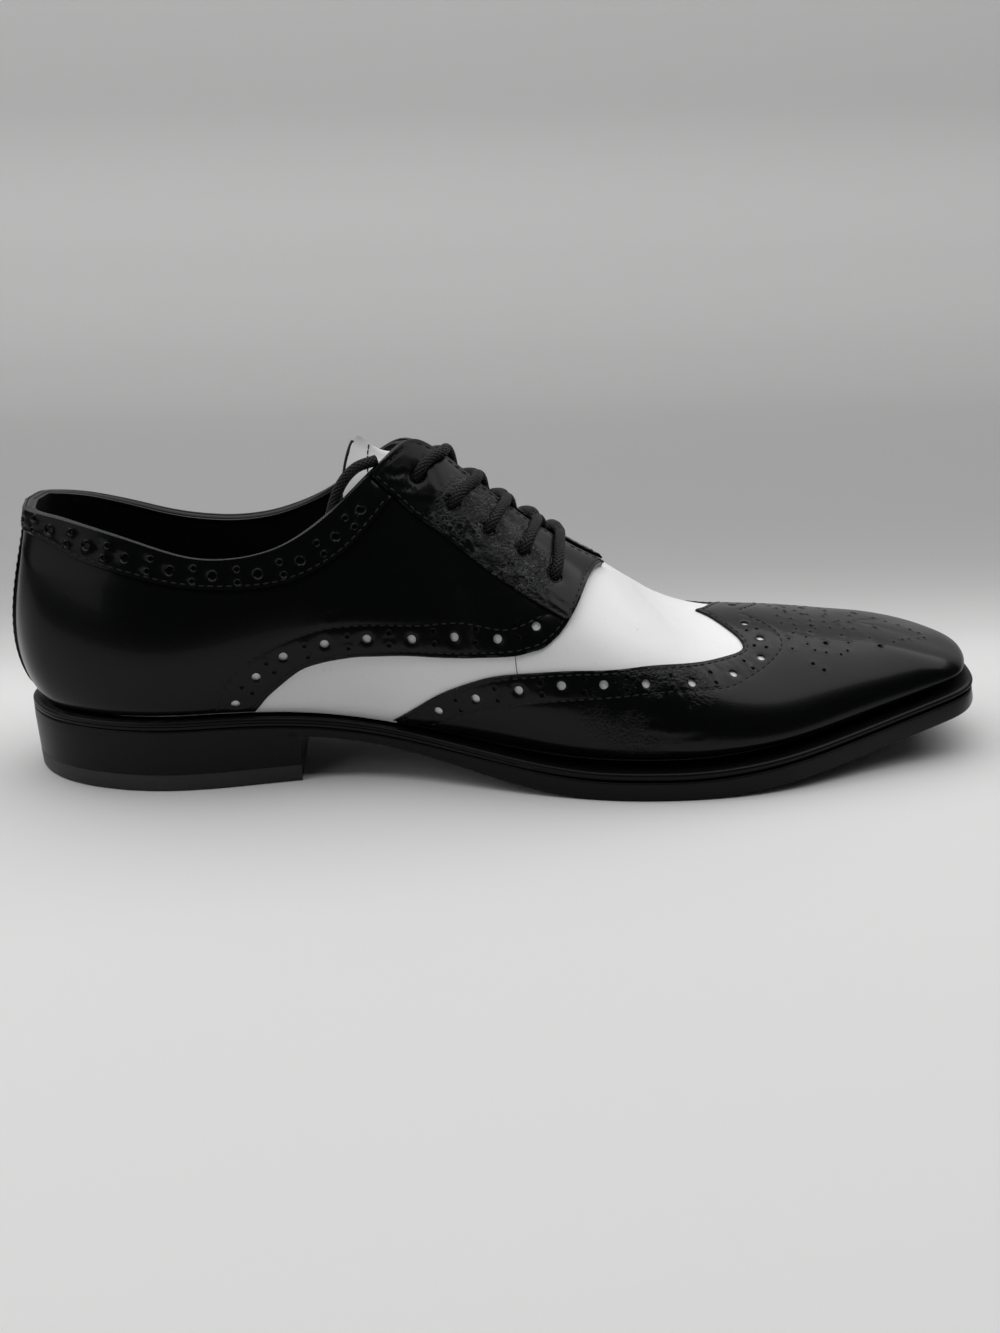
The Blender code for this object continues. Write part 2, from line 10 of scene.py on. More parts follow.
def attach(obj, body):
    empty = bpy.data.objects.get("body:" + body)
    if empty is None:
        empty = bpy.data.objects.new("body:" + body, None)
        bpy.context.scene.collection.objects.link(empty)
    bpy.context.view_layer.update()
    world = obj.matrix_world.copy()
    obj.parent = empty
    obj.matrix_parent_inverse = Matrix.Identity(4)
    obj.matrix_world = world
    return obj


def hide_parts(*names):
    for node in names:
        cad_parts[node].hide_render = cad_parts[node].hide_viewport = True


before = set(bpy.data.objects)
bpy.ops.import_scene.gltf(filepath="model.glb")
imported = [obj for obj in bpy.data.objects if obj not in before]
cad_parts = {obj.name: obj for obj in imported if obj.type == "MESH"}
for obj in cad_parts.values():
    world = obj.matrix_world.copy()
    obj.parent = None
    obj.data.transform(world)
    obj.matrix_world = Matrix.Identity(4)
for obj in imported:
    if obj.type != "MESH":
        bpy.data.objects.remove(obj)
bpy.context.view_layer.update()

# Camera
# One lens stands a little above the shoe's outer side and looks slightly down on it.
# Its place and tilt were worked out from the outline of the sole and the top line.
PHOTO_WIDTH = 1000
LENS_PIXELS = 1467
CAMERA_PLACE = (0.0795, -0.451, 0.192)
CAMERA_DOWN, CAMERA_TURN, CAMERA_ROLL = np.radians((20.14, 3.45, -0.551))

camera_data = bpy.data.cameras.new("camera")
camera_data.sensor_fit = "HORIZONTAL"
camera_data.sensor_width = 36
camera_data.lens = LENS_PIXELS / PHOTO_WIDTH * camera_data.sensor_width
camera_data.clip_start = 0.01
camera = bpy.data.objects.new("camera", camera_data)
bpy.context.scene.collection.objects.link(camera)
ahead = Vector((np.sin(CAMERA_TURN) * np.cos(CAMERA_DOWN),
                np.cos(CAMERA_TURN) * np.cos(CAMERA_DOWN), -np.sin(CAMERA_DOWN)))
level = Vector((np.cos(CAMERA_TURN), -np.sin(CAMERA_TURN), 0))
upward = level.cross(ahead)
right = level * np.cos(CAMERA_ROLL) + upward * np.sin(CAMERA_ROLL)
above = upward * np.cos(CAMERA_ROLL) - level * np.sin(CAMERA_ROLL)
turned = Matrix((right, above, -ahead)).transposed().to_4x4()
camera.matrix_world = Matrix.Translation(CAMERA_PLACE) @ turned
bpy.context.scene.camera = camera

# Studio
# A pale sheet of card lies under the shoe and curves up far back. Its grey is painted shade, darker
# just behind the shoe, and painted light, paler again up the curve. A wide soft lamp hangs overhead,
# a small one stands beside the heel, and the room in front is dark.
SWEEP_FRONT, SWEEP_BACK, SWEEP_BEND = -0.29, 0.62, 0.22
SWEEP_TOP = ((0.85, 0.40), (0.86, 0.62), (0.88, 0.85))
# Painted shade and light on the card, as (distance back, grey): darker just behind the shoe, paler
# again up the curve.
CARD_PAINTED_SHADE = ((0.05, 0.68), (0.08, 0.63), (0.10, 0.55), (0.13, 0.46), (0.16, 0.385),
              (0.20, 0.335), (0.28, 0.305), (0.44, 0.305), (0.60, 0.33), (0.72, 0.40),
              (0.80, 0.52), (0.845, 0.68))
SWEEP_HALF = 2.2


def new_object(name, content):
    made = bpy.data.objects.new(name, content)
    bpy.context.scene.collection.objects.link(made)
    return made


def card_with_painted_shade(tones):
    """Matt card painted greyer and paler from front to back, as painted shade and light, from
    (distance back, grey) pairs.
    """
    made = bpy.data.materials.new("pale card with painted shade")
    made.use_nodes = True
    nodes, links = made.node_tree.nodes, made.node_tree.links
    nodes["Principled BSDF"].inputs["Roughness"].default_value = 0.9
    nodes["Principled BSDF"].inputs["Specular IOR Level"].default_value = 0.2
    axes = nodes.new("ShaderNodeSeparateXYZ")
    links.new(nodes.new("ShaderNodeTexCoord").outputs["Object"], axes.inputs["Vector"])
    ramp = nodes.new("ShaderNodeValToRGB")
    ramp.color_ramp.interpolation = "B_SPLINE"
    while len(ramp.color_ramp.elements) < len(tones):
        ramp.color_ramp.elements.new(0.5)
    for element, (back, grey) in zip(ramp.color_ramp.elements, tones):
        element.position = back
        element.color = (grey * 0.995, grey, grey * 0.99, 1)
    links.new(axes.outputs["Y"], ramp.inputs["Fac"])
    links.new(ramp.outputs["Color"], nodes["Principled BSDF"].inputs["Base Color"])
    return made


BEND_STEPS = 24
bend = np.linspace(0, np.pi / 2, BEND_STEPS)
sweep = [(SWEEP_FRONT, 0.0)]
sweep += [(SWEEP_BACK + SWEEP_BEND * np.sin(a), SWEEP_BEND * (1 - np.cos(a))) for a in bend]
sweep += SWEEP_TOP
card = bpy.data.meshes.new("card")
card.from_pydata([(side, y, z) for y, z in sweep for side in (-SWEEP_HALF, SWEEP_HALF)], [],
                 [(2 * k, 2 * k + 1, 2 * k + 3, 2 * k + 2) for k in range(len(sweep) - 1)])
card.shade_smooth()
card.materials.append(card_with_painted_shade(CARD_PAINTED_SHADE))
new_object("card", card)


def soft_lamp(name, place, aim, size, power):
    light = bpy.data.lights.new(name, "AREA")
    light.shape = "RECTANGLE"
    light.size, light.size_y = size
    light.energy = power
    lamp = new_object(name, light)
    direction = Vector(aim) - Vector(place)
    turned_to = direction.to_track_quat("-Z", "Y").to_matrix().to_4x4()
    lamp.matrix_world = Matrix.Translation(place) @ turned_to


OVERHEAD_PLACE, OVERHEAD_AIM = (0.1, 0.45, 1.2), (0.1, 0.4499, 0)
OVERHEAD_SIZE, OVERHEAD_POWER = (3.2, 1.9), 38
SIDE_PLACE, SIDE_AIM = (-1.5, -0.9, 0.9), (0.0, 0.0, 0.03)
SIDE_SIZE, SIDE_POWER = (1.9, 1.5), 6
ROOM_GREY = (0.03, 0.0305, 0.031)
soft_lamp("overhead lamp", OVERHEAD_PLACE, OVERHEAD_AIM, OVERHEAD_SIZE, OVERHEAD_POWER)
soft_lamp("side lamp", SIDE_PLACE, SIDE_AIM, SIDE_SIZE, SIDE_POWER)
room = bpy.data.worlds.new("room")
room.use_nodes = True
room.node_tree.nodes["Background"].inputs["Color"].default_value = (*ROOM_GREY, 1)
room.node_tree.nodes["Background"].inputs["Strength"].default_value = 1.0
bpy.context.scene.world = room
bpy.context.scene.view_settings.view_transform = "Standard"

# Last
# Everything is built over one last, a long one with a squared toe. Its shape is a table of ribs
# from the back of the heel to the toe's tip, as shares of its length, ball width and instep.
LENGTH, BALL_WIDTH, INSTEP = 0.304, 0.099, 0.095
TOE_SPRING, TOE_SHIFT = 0.0162, 0.003
ARCH_START, ARCH_END, SPRING_START = 0.185, 0.585, 0.66
HEEL_HEIGHT, HEEL_LENGTH = 0.0169, 0.085
OUTSOLE_REAR, OUTSOLE_FORE, WELT = 0.0032, 0.0072, 0.0028
GAP = 0.0003
SEAT = HEEL_HEIGHT + OUTSOLE_REAR + WELT + 3 * GAP
TREAD = OUTSOLE_FORE + WELT + 2 * GAP
HEEL_CENTRE = HEEL_LENGTH / 2
RIB_COLUMNS = ("foot", "outer", "inner", "top", "opening", "outer_rise", "inner_rise",
               "belly", "lift", "crown", "drop", "fan")
RIBS = (
    (0.000, 0.000, 0.000, 0.008, 0.000, 0.660, 0.660, 0.128, 0.30, 0.030, 0.30, 1.0),
    (0.018, 0.140, 0.140, 0.017, 0.120, 0.656, 0.656, 0.122, 0.30, 0.035, 0.30, 1.0),
    (0.060, 0.245, 0.245, 0.062, 0.205, 0.636, 0.628, 0.095, 0.30, 0.050, 0.30, 1.0),
    (0.130, 0.310, 0.305, 0.125, 0.255, 0.580, 0.565, 0.070, 0.32, 0.060, 0.30, 1.0),
    (0.210, 0.300, 0.310, 0.195, 0.275, 0.518, 0.522, 0.060, 0.34, 0.060, 0.30, 1.0),
    (0.290, 0.262, 0.275, 0.265, 0.255, 0.555, 0.565, 0.060, 0.34, 0.070, 0.30, 1.0),
    (0.360, 0.265, 0.250, 0.325, 0.195, 0.690, 0.690, 0.065, 0.34, 0.090, 0.28, 1.0),
    (0.420, 0.306, 0.255, 0.375, 0.105, 0.850, 0.850, 0.075, 0.34, 0.130, 0.22, 0.6),
    (0.480, 0.368, 0.290, 0.415, 0.034, 0.910, 0.890, 0.085, 0.34, 0.150, 0.14, 0.3),
    (0.540, 0.430, 0.340, 0.480, 0.036, 0.775, 0.765, 0.080, 0.36, 0.200, 0.06, 0.1),
    (0.600, 0.474, 0.395, 0.545, 0.032, 0.640, 0.640, 0.070, 0.40, 0.230, 0.02, 0.0),
    (0.660, 0.488, 0.440, 0.605, 0.000, 0.525, 0.525, 0.060, 0.44, 0.240, 0.00, 0.0),
    (0.720, 0.476, 0.462, 0.655, 0.000, 0.408, 0.408, 0.050, 0.48, 0.240, 0.00, 0.0),
    (0.780, 0.432, 0.448, 0.710, 0.000, 0.337, 0.337, 0.045, 0.50, 0.240, 0.00, 0.0),
    (0.840, 0.360, 0.405, 0.770, 0.000, 0.302, 0.302, 0.040, 0.55, 0.220, 0.00, 0.0),
    (0.900, 0.290, 0.345, 0.825, 0.000, 0.256, 0.256, 0.035, 0.60, 0.200, 0.00, 0.0),
    (0.950, 0.240, 0.280, 0.860, 0.000, 0.222, 0.222, 0.022, 0.64, 0.200, 0.00, 0.6),
    (0.983, 0.168, 0.200, 0.875, 0.000, 0.206, 0.206, 0.014, 0.66, 0.205, 0.00, 1.0),
    (1.000, 0.000, 0.000, 0.877, 0.000, 0.204, 0.204, 0.006, 0.66, 0.205, 0.00, 1.0),
)
TIP = len(RIBS) - 1
TOE_SLOPE = -0.17
RIDGE_BEND = (0.35, 0.85)


def column(name):
    return np.array([row[RIB_COLUMNS.index(name)] for row in RIBS], float)


def ramp(value, start, end):
    """0 before start and 1 after end, with a smooth climb between."""
    t = np.clip((value - start) / (end - start), 0, 1)
    return t * t * (3 - 2 * t)


def feather_height(along):
    arch = 1 - ramp(along, ARCH_START, ARCH_END)
    spring = np.clip((along - SPRING_START) / (1 - SPRING_START), 0, None) ** 1.7
    return TREAD + (SEAT - TREAD) * arch + TOE_SPRING * spring


def both_sides(outer, inner):
    return np.concatenate([outer, inner[-2:0:-1]])


def hermite(values, slopes, ribs):
    start = np.floor(ribs).astype(int)
    t = ribs - start
    a, b = start % len(values), (start + 1) % len(values)
    return (values[a] * (2 * t**3 - 3 * t**2 + 1) + slopes[a] * (t**3 - 2 * t**2 + t)
            + values[b] * (3 * t**2 - 2 * t**3) + slopes[b] * (t**3 - t**2))


def smooth(values, ribs):
    """The closed cubic spline through the ribs' values."""
    count = len(values)
    step = np.roll(np.eye(count), 1, axis=1)
    matrix = 4 * np.eye(count) + step + step.T
    slopes = np.linalg.solve(matrix, 3 * (np.roll(values, -1) - np.roll(values, 1)))
    return hermite(values, slopes, ribs)


def steady(values, ribs):
    """As smooth, but it never passes the values on either side."""
    ahead_of = np.roll(values, -1) - values
    behind = np.roll(ahead_of, 1)
    total = np.where(ahead_of + behind == 0, 1, ahead_of + behind)
    slopes = np.where(ahead_of * behind > 0, 2 * ahead_of * behind / total, 0)
    return hermite(values, slopes, ribs)


def sides(name, ribs, curve=smooth):
    return curve(both_sides(column(name), column(name)), ribs)


def foot_line(ribs, margin=0.0):
    """Plan of the feather line, moved out by margin, with the outward direction."""
    half = both_sides(-column("outer"), column("inner")) * BALL_WIDTH
    half[TIP] = TOE_SHIFT
    step = 1e-3

    def plan(at):
        return np.stack([sides("foot", at) * LENGTH - HEEL_CENTRE, smooth(half, at)], -1)

    tangent = plan(ribs + step) - plan(ribs - step)
    outward = np.stack([tangent[..., 1], -tangent[..., 0]], -1)
    outward /= np.linalg.norm(outward, axis=-1, keepdims=True)
    return plan(ribs) + outward * np.reshape(margin, (-1, 1)), outward


def along_of(plan):
    return (plan[..., 0] + HEEL_CENTRE) / LENGTH


def last_points(ribs, ups):
    plan, outward = foot_line(ribs)
    foot = np.concatenate([plan, feather_height(along_of(plan))[:, None]], -1)
    along = sides("top", ribs, steady)
    outer = (np.mod(ribs, 2 * TIP) < TIP) & (np.mod(ribs, 2 * TIP) > 0)
    ridge = TOE_SHIFT * np.clip((along - RIDGE_BEND[0]) / (RIDGE_BEND[1] - RIDGE_BEND[0]), 0, 1)
    opening = sides("opening", ribs, steady) * BALL_WIDTH * np.where(outer, -1, 1)
    tilt = (column("outer_rise") - column("inner_rise")) / 2
    rise = sides("outer_rise", ribs) - smooth(both_sides(tilt, tilt), ribs)
    rise = (rise + steady(both_sides(tilt, -tilt), ribs)) * INSTEP
    top = np.stack([along * LENGTH - HEEL_CENTRE, ridge + opening,
                    feather_height(along) + rise], -1)
    height = top[:, 2] - foot[:, 2]
    belly = sides("belly", ribs) * BALL_WIDTH
    low = foot + np.column_stack([outward * belly[:, None], sides("lift", ribs) * height])
    across = np.column_stack([outward[:, 0] * sides("fan", ribs, steady), outward[:, 1]])
    across *= (sides("crown", ribs) * BALL_WIDTH / np.linalg.norm(across, axis=1))[:, None]
    toe = np.where(ribs % (2 * TIP) > TIP, 2 * TIP - ribs % (2 * TIP), ribs % (2 * TIP))
    slope = TOE_SLOPE * (toe > TIP - 5) * across[:, 0]
    high = top + np.column_stack([across, slope - sides("drop", ribs) * height])
    t = ups[:, None]
    return (foot * (1 - t)**3 + 3 * low * t * (1 - t)**2 + 3 * high * t**2 * (1 - t)
            + top * t**3)


# The last is worked out once on a fine grid, and everything else reads that grid.
PER_RIB, ROWS = 14, 72
COLUMNS = 2 * TIP * PER_RIB


def make_last():
    ribs, ups = np.meshgrid(np.arange(COLUMNS) / PER_RIB, np.linspace(0, 1, ROWS + 1),
                            indexing="ij")
    points = last_points(ribs.ravel(), ups.ravel())
    place = np.unique(np.round(points * 1e7), axis=0, return_inverse=True)[1].reshape(-1)
    c, r = np.meshgrid(np.arange(COLUMNS), np.arange(ROWS), indexing="ij")
    a = (c * (ROWS + 1) + r).ravel()
    b = ((c + 1) % COLUMNS * (ROWS + 1) + r).ravel()
    triangles = np.vstack([np.column_stack([a, b, b + 1]), np.column_stack([a, b + 1, a + 1])])
    corners = points[triangles]
    facing = np.cross(corners[:, 1] - corners[:, 0], corners[:, 2] - corners[:, 0])
    total = np.zeros((place.max() + 1, 3))
    for k in range(3):
        np.add.at(total, place[triangles[:, k]], facing)
    total /= np.linalg.norm(total, axis=1, keepdims=True)
    shape = (COLUMNS, ROWS + 1, 3)
    return points.reshape(shape), total[place].reshape(shape)


# The finished shoe has the last's size, so the leather underneath lies in by the thickness of
# what covers it. The upper is also drawn in under the last's edge, with a shadow there.
ONE_LAYER, TWO_LAYERS, STRIP_LAYERS = 0.0009, 0.0020, 0.0026
THROAT_UP, THROAT_BEGINS, THROAT_ENDS = (0.40, 0.70), (5.5, 7.5), (10.3, 11.5)
COLLAR_UP, COLLAR_ENDS = (0.72, 0.86), (6.0, 7.5)
STRIP_ENDS = (0.3, 1.6)
TOE_DRAWN_IN = 0.0011
TOE_WALL_BEGINS, TOE_WALL_LOW, TOE_WALL_HIGH = (15.8, 17.5), (0.0, 0.1), (0.45, 0.85)
TUCK_REAR, TUCK_FORE, TUCK_SHARE = 0.0010, 0.0026, 0.085
TUCK_GROWS = (0.33, 0.55)
LAST, OUTWARD = make_last()
from_back = np.minimum(np.arange(COLUMNS), COLUMNS - np.arange(COLUMNS))[:, None] / PER_RIB
share_up = np.linspace(0, 1, ROWS + 1)[None, :]
throat = ramp(share_up, *THROAT_UP) * ramp(from_back, *THROAT_BEGINS)
throat = throat * (1 - ramp(from_back, *THROAT_ENDS))
collar = ramp(share_up, *COLLAR_UP) * (1 - ramp(from_back, *COLLAR_ENDS))
lying_in = ONE_LAYER + (TWO_LAYERS - ONE_LAYER) * np.maximum(throat, collar)
strip_share = STRIP_LAYERS - (STRIP_LAYERS - ONE_LAYER) * ramp(from_back, *STRIP_ENDS)
lying_in = np.maximum(lying_in, strip_share)
toe_wall = ramp(from_back, *TOE_WALL_BEGINS) * ramp(share_up, *TOE_WALL_LOW)
toe_wall = toe_wall * (1 - ramp(share_up, *TOE_WALL_HIGH))
lying_in = lying_in + TOE_DRAWN_IN * toe_wall
tuck = TUCK_REAR + (TUCK_FORE - TUCK_REAR) * ramp(along_of(LAST[:, :1, :2]), *TUCK_GROWS)
tuck = tuck * (1 - ramp(share_up, 0, TUCK_SHARE))
LAST = LAST - OUTWARD * (lying_in[..., None] + tuck[..., None] * (1, 1, 0))


def read_last(flat):
    """Points and outward directions on the last at rows of (rib, up)."""
    flat = np.atleast_2d(flat)
    x, y = flat[:, 0] * PER_RIB, np.clip(flat[:, 1], 0, 1) * ROWS
    c, r = np.floor(x).astype(int), np.minimum(np.floor(y).astype(int), ROWS - 1)
    s, t = (x - c)[:, None], (y - r)[:, None]
    c, d = c % COLUMNS, (c + 1) % COLUMNS
    found = []
    for grid in (LAST, OUTWARD):
        found.append(grid[c, r] * (1 - s) * (1 - t) + grid[d, r] * s * (1 - t)
                     + grid[c, r + 1] * (1 - s) * t + grid[d, r + 1] * s * t)
    points, outward = found
    return points, outward / np.linalg.norm(outward, axis=1, keepdims=True)


def on_last(flat, depth=0.0):
    points, outward = read_last(flat)
    return points + outward * np.reshape(depth, (-1, 1))


def step_on_last(at, side_step):
    """How far to go in rib and up, from one place, to move by a step in metres."""
    at = np.array(at, float)
    reach = np.array((0.04, 0.01))
    low = np.clip(at[1] - reach[1], 0, 1)
    high = np.clip(at[1] + reach[1], 0, 1)
    spots = on_last([(at[0] - reach[0], at[1]), (at[0] + reach[0], at[1]),
                     (at[0], low), (at[0], high)])
    slopes = np.column_stack([(spots[1] - spots[0]) / (2 * reach[0]),
                              (spots[3] - spots[2]) / (high - low)])
    return np.linalg.lstsq(slopes, side_step, rcond=None)[0]


def spline(points, steps=6):
    """A smooth run through the points of an outline."""
    points = np.array(points, float)
    ends = np.vstack([2 * points[0] - points[1], points, 2 * points[-1] - points[-2]])
    slopes = (ends[2:] - ends[:-2]) / 2
    found = [points[0]]
    for a in range(len(points) - 1):
        for t in np.arange(1, steps + 1) / steps:
            found.append(points[a] * (2 * t**3 - 3 * t**2 + 1) + slopes[a] * (t**3 - 2 * t**2 + t)
                         + points[a + 1] * (3 * t**2 - 2 * t**3)
                         + slopes[a + 1] * (t**3 - t**2))
    return np.array(found)


def even(line, spacing):
    """The same line with its points a spacing apart, in metres on the last."""
    line = np.array(line, float)
    places = on_last(line)
    run = np.concatenate([[0], np.cumsum(np.linalg.norm(np.diff(places, axis=0), axis=1))])
    count = max(int(round(run[-1] / spacing)), 1)
    at = np.linspace(0, run[-1], count + 1)
    return np.column_stack([np.interp(at, run, line[:, 0]), np.interp(at, run, line[:, 1])])


def beside(line, distance):
    """A line to the left of another, as seen from outside, at a distance in metres."""
    line = np.array(line, float)
    places, outward = read_last(line)
    tangent = np.gradient(places, axis=0)
    tangent /= np.linalg.norm(tangent, axis=1, keepdims=True)
    left = np.cross(outward, tangent)
    return np.array([at + step_on_last(at, side * distance) for at, side in zip(line, left)])


def ring(at, radius, count=14):
    """A circle on the last round one place, as rib and up."""
    _, outward = read_last([at])
    first = np.cross(outward[0], (0, 0, 1))
    first /= np.linalg.norm(first)
    second = np.cross(outward[0], first)
    turns = np.arange(count) * 2 * np.pi / count
    return np.array([at + step_on_last(at, radius * (first * np.cos(a) + second * np.sin(a)))
                     for a in turns])


def mirrored(line):
    line = np.array(line, float)
    return np.column_stack([2 * TIP - line[:, 0], line[:, 1]])[::-1]


def distance_to(points, line):
    """Distance from each point to a line through places, all in metres."""
    nearest = np.full(len(points), np.inf)
    for a, b in zip(line[:-1], line[1:]):
        side = b - a
        t = np.clip((points - a) @ side / max(side @ side, 1e-12), 0, 1)
        nearest = np.minimum(nearest, np.linalg.norm(points - a - t[:, None] * side, axis=1))
    return nearest

# Vamp and lining
# White calf is pulled over the last in one piece and shows between the black pieces, with a
# short side seam. A thin black lining is glued to its inside.
WALL, LINING = 0.0018, 0.0008
WHITE, LINING_BLACK = (0.88, 0.885, 0.88), (0.003, 0.003, 0.003)
SIDE_SEAM = ((8.67, 0.37), (8.64, 0.33), (8.60, 0.29), (8.57, 0.24))
SEAM_THREAD = 0.00022


def node(material, kind, **values):
    made = material.node_tree.nodes.new(kind)
    for name, value in values.items():
        if hasattr(made, name):
            setattr(made, name, value)
        else:
            made.inputs[name.replace("_", " ")].default_value = value
    return made


def join(material, source, output, target, entry):
    material.node_tree.links.new(source.outputs[output], target.inputs[entry])


def leather_finish(name, colour, roughness, grain, grain_depth, coat=0.0, coat_roughness=0.1,
                   mottle=0.25, crackle=0.0, crackle_size=900, wear=(0.08, 0.08, 0.085),
                   shine=0.5, crackle_round=(0, 0, 0), crackle_reach=(0.02, 0.03),
                   glint_and_broken_finish=(0.02, 0.02, 0.02)):
    """Leather with pores in its bump and gloss that varies over it.

    Where it has been bent, round a place on each side of the shoe, it is finely crinkled, and the
    ridges of some crinkles are painted a lighter tone: a painted highlight for the lamps' glints on
    them, and partly finish broken along them.
    """
    made = bpy.data.materials.new(name)
    made.use_nodes = True
    shader = made.node_tree.nodes["Principled BSDF"]
    shader.inputs["Coat Weight"].default_value = coat
    shader.inputs["Coat Roughness"].default_value = coat_roughness
    shader.inputs["Specular IOR Level"].default_value = shine
    place = node(made, "ShaderNodeTexCoord")
    cloud = node(made, "ShaderNodeTexNoise", Scale=38, Detail=5, Roughness=0.6)
    join(made, place, "Object", cloud, "Vector")
    tone = node(made, "ShaderNodeMix", data_type="RGBA")
    tone.inputs["A"].default_value = (*colour, 1)
    tone.inputs["B"].default_value = (*[c * (1 - mottle) for c in colour], 1)
    join(made, cloud, "Fac", tone, "Factor")
    rub = node(made, "ShaderNodeTexNoise", Scale=900, Detail=3)
    join(made, place, "Object", rub, "Vector")
    rubbed = node(made, "ShaderNodeMapRange", From_Min=0.66, From_Max=0.78)
    join(made, rub, "Fac", rubbed, "Value")
    worn = node(made, "ShaderNodeMix", data_type="RGBA")
    worn.inputs["B"].default_value = (*wear, 1)
    join(made, tone, "Result", worn, "A")
    join(made, rubbed, "Result", worn, "Factor")
    join(made, worn, "Result", shader, "Base Color")
    gloss = node(made, "ShaderNodeMapRange", To_Min=roughness * 0.82, To_Max=roughness * 1.22)
    join(made, cloud, "Fac", gloss, "Value")
    join(made, gloss, "Result", shader, "Roughness")
    pores = node(made, "ShaderNodeTexVoronoi", Scale=grain, feature="DISTANCE_TO_EDGE")
    join(made, place, "Object", pores, "Vector")
    fine = node(made, "ShaderNodeTexNoise", Scale=grain * 0.7, Detail=6, Roughness=0.65)
    join(made, place, "Object", fine, "Vector")
    pore_bump = node(made, "ShaderNodeBump", Strength=0.5, Distance=grain_depth)
    join(made, pores, "Distance", pore_bump, "Height")
    fine_bump = node(made, "ShaderNodeBump", Strength=0.6, Distance=grain_depth)
    join(made, fine, "Fac", fine_bump, "Height")
    join(made, pore_bump, "Normal", fine_bump, "Normal")
    last_bump = fine_bump
    if crackle:
        warp = node(made, "ShaderNodeTexNoise", Scale=crackle_size * 0.25, Detail=3)
        join(made, place, "Object", warp, "Vector")
        bent = node(made, "ShaderNodeVectorMath", operation="MULTIPLY_ADD")
        bent.inputs[1].default_value = (0.004, 0.004, 0.004)
        join(made, warp, "Color", bent, 0)
        join(made, place, "Object", bent, 2)
        folds = node(made, "ShaderNodeTexVoronoi", Scale=crackle_size, feature="DISTANCE_TO_EDGE")
        join(made, bent, "Vector", folds, "Vector")
        finer = node(made, "ShaderNodeTexVoronoi", Scale=crackle_size * 2.3,
                     feature="DISTANCE_TO_EDGE")
        join(made, bent, "Vector", finer, "Vector")
        both = node(made, "ShaderNodeMath", operation="MULTIPLY_ADD")
        join(made, finer, "Distance", both, 0)
        both.inputs[1].default_value = 0.4
        join(made, folds, "Distance", both, 2)
        sharp = node(made, "ShaderNodeMapRange", From_Min=0.0, From_Max=0.34)
        join(made, both, "Value", sharp, "Value")
        where = node(made, "ShaderNodeTexNoise", Scale=75, Detail=2)
        join(made, place, "Object", where, "Vector")
        shown = node(made, "ShaderNodeMapRange", From_Min=0.36, From_Max=0.60)
        join(made, where, "Fac", shown, "Value")
        axes = node(made, "ShaderNodeSeparateXYZ")
        join(made, place, "Object", axes, "Vector")
        aside = node(made, "ShaderNodeMath", operation="ABSOLUTE")
        join(made, axes, "Y", aside, 0)
        either_side = node(made, "ShaderNodeCombineXYZ")
        join(made, axes, "X", either_side, "X")
        join(made, aside, "Value", either_side, "Y")
        join(made, axes, "Z", either_side, "Z")
        away = node(made, "ShaderNodeVectorMath", operation="DISTANCE")
        join(made, either_side, "Vector", away, 0)
        away.inputs[1].default_value = crackle_round
        clear = node(made, "ShaderNodeMapRange", From_Min=crackle_reach[1],
                     From_Max=crackle_reach[0])
        join(made, away, "Value", clear, "Value")
        bounded = node(made, "ShaderNodeMath", operation="MULTIPLY")
        join(made, shown, "Result", bounded, 0)
        join(made, clear, "Result", bounded, 1)
        lifted = node(made, "ShaderNodeMath", operation="MULTIPLY")
        join(made, sharp, "Result", lifted, 0)
        join(made, bounded, "Value", lifted, 1)
        fold_bump = node(made, "ShaderNodeBump", Strength=0.8, Distance=crackle)
        join(made, lifted, "Value", fold_bump, "Height")
        join(made, fine_bump, "Normal", fold_bump, "Normal")
        last_bump = fold_bump
        # Painted highlight: the ridges of some crinkles are painted lighter, for the lamps' glints on
        # them and partly for finish broken along them.
        ridges = node(made, "ShaderNodeMapRange", From_Min=0.14, From_Max=0.03)
        join(made, both, "Value", ridges, "Value")
        patchy = node(made, "ShaderNodeTexNoise", Scale=260, Detail=3)
        join(made, place, "Object", patchy, "Vector")
        some = node(made, "ShaderNodeMapRange", From_Min=0.44, From_Max=0.60)
        join(made, patchy, "Fac", some, "Value")
        lined = node(made, "ShaderNodeMath", operation="MULTIPLY")
        join(made, ridges, "Result", lined, 0)
        join(made, some, "Result", lined, 1)
        painted_glint_mask = node(made, "ShaderNodeMath", operation="MULTIPLY")
        join(made, lined, "Value", painted_glint_mask, 0)
        join(made, bounded, "Value", painted_glint_mask, 1)
        split = node(made, "ShaderNodeMix", data_type="RGBA")
        split.inputs["B"].default_value = (*glint_and_broken_finish, 1)
        join(made, worn, "Result", split, "A")
        join(made, painted_glint_mask, "Value", split, "Factor")
        join(made, split, "Result", shader, "Base Color")
    join(made, last_bump, "Normal", shader, "Normal")
    return made


white_leather = leather_finish("white leather", WHITE, 0.42, 2600, 0.00004, coat=0.12,
                               coat_roughness=0.35, mottle=0.03, wear=(0.72, 0.72, 0.71))
lining_leather = leather_finish("lining leather", LINING_BLACK, 0.5, 1800, 0.00006)


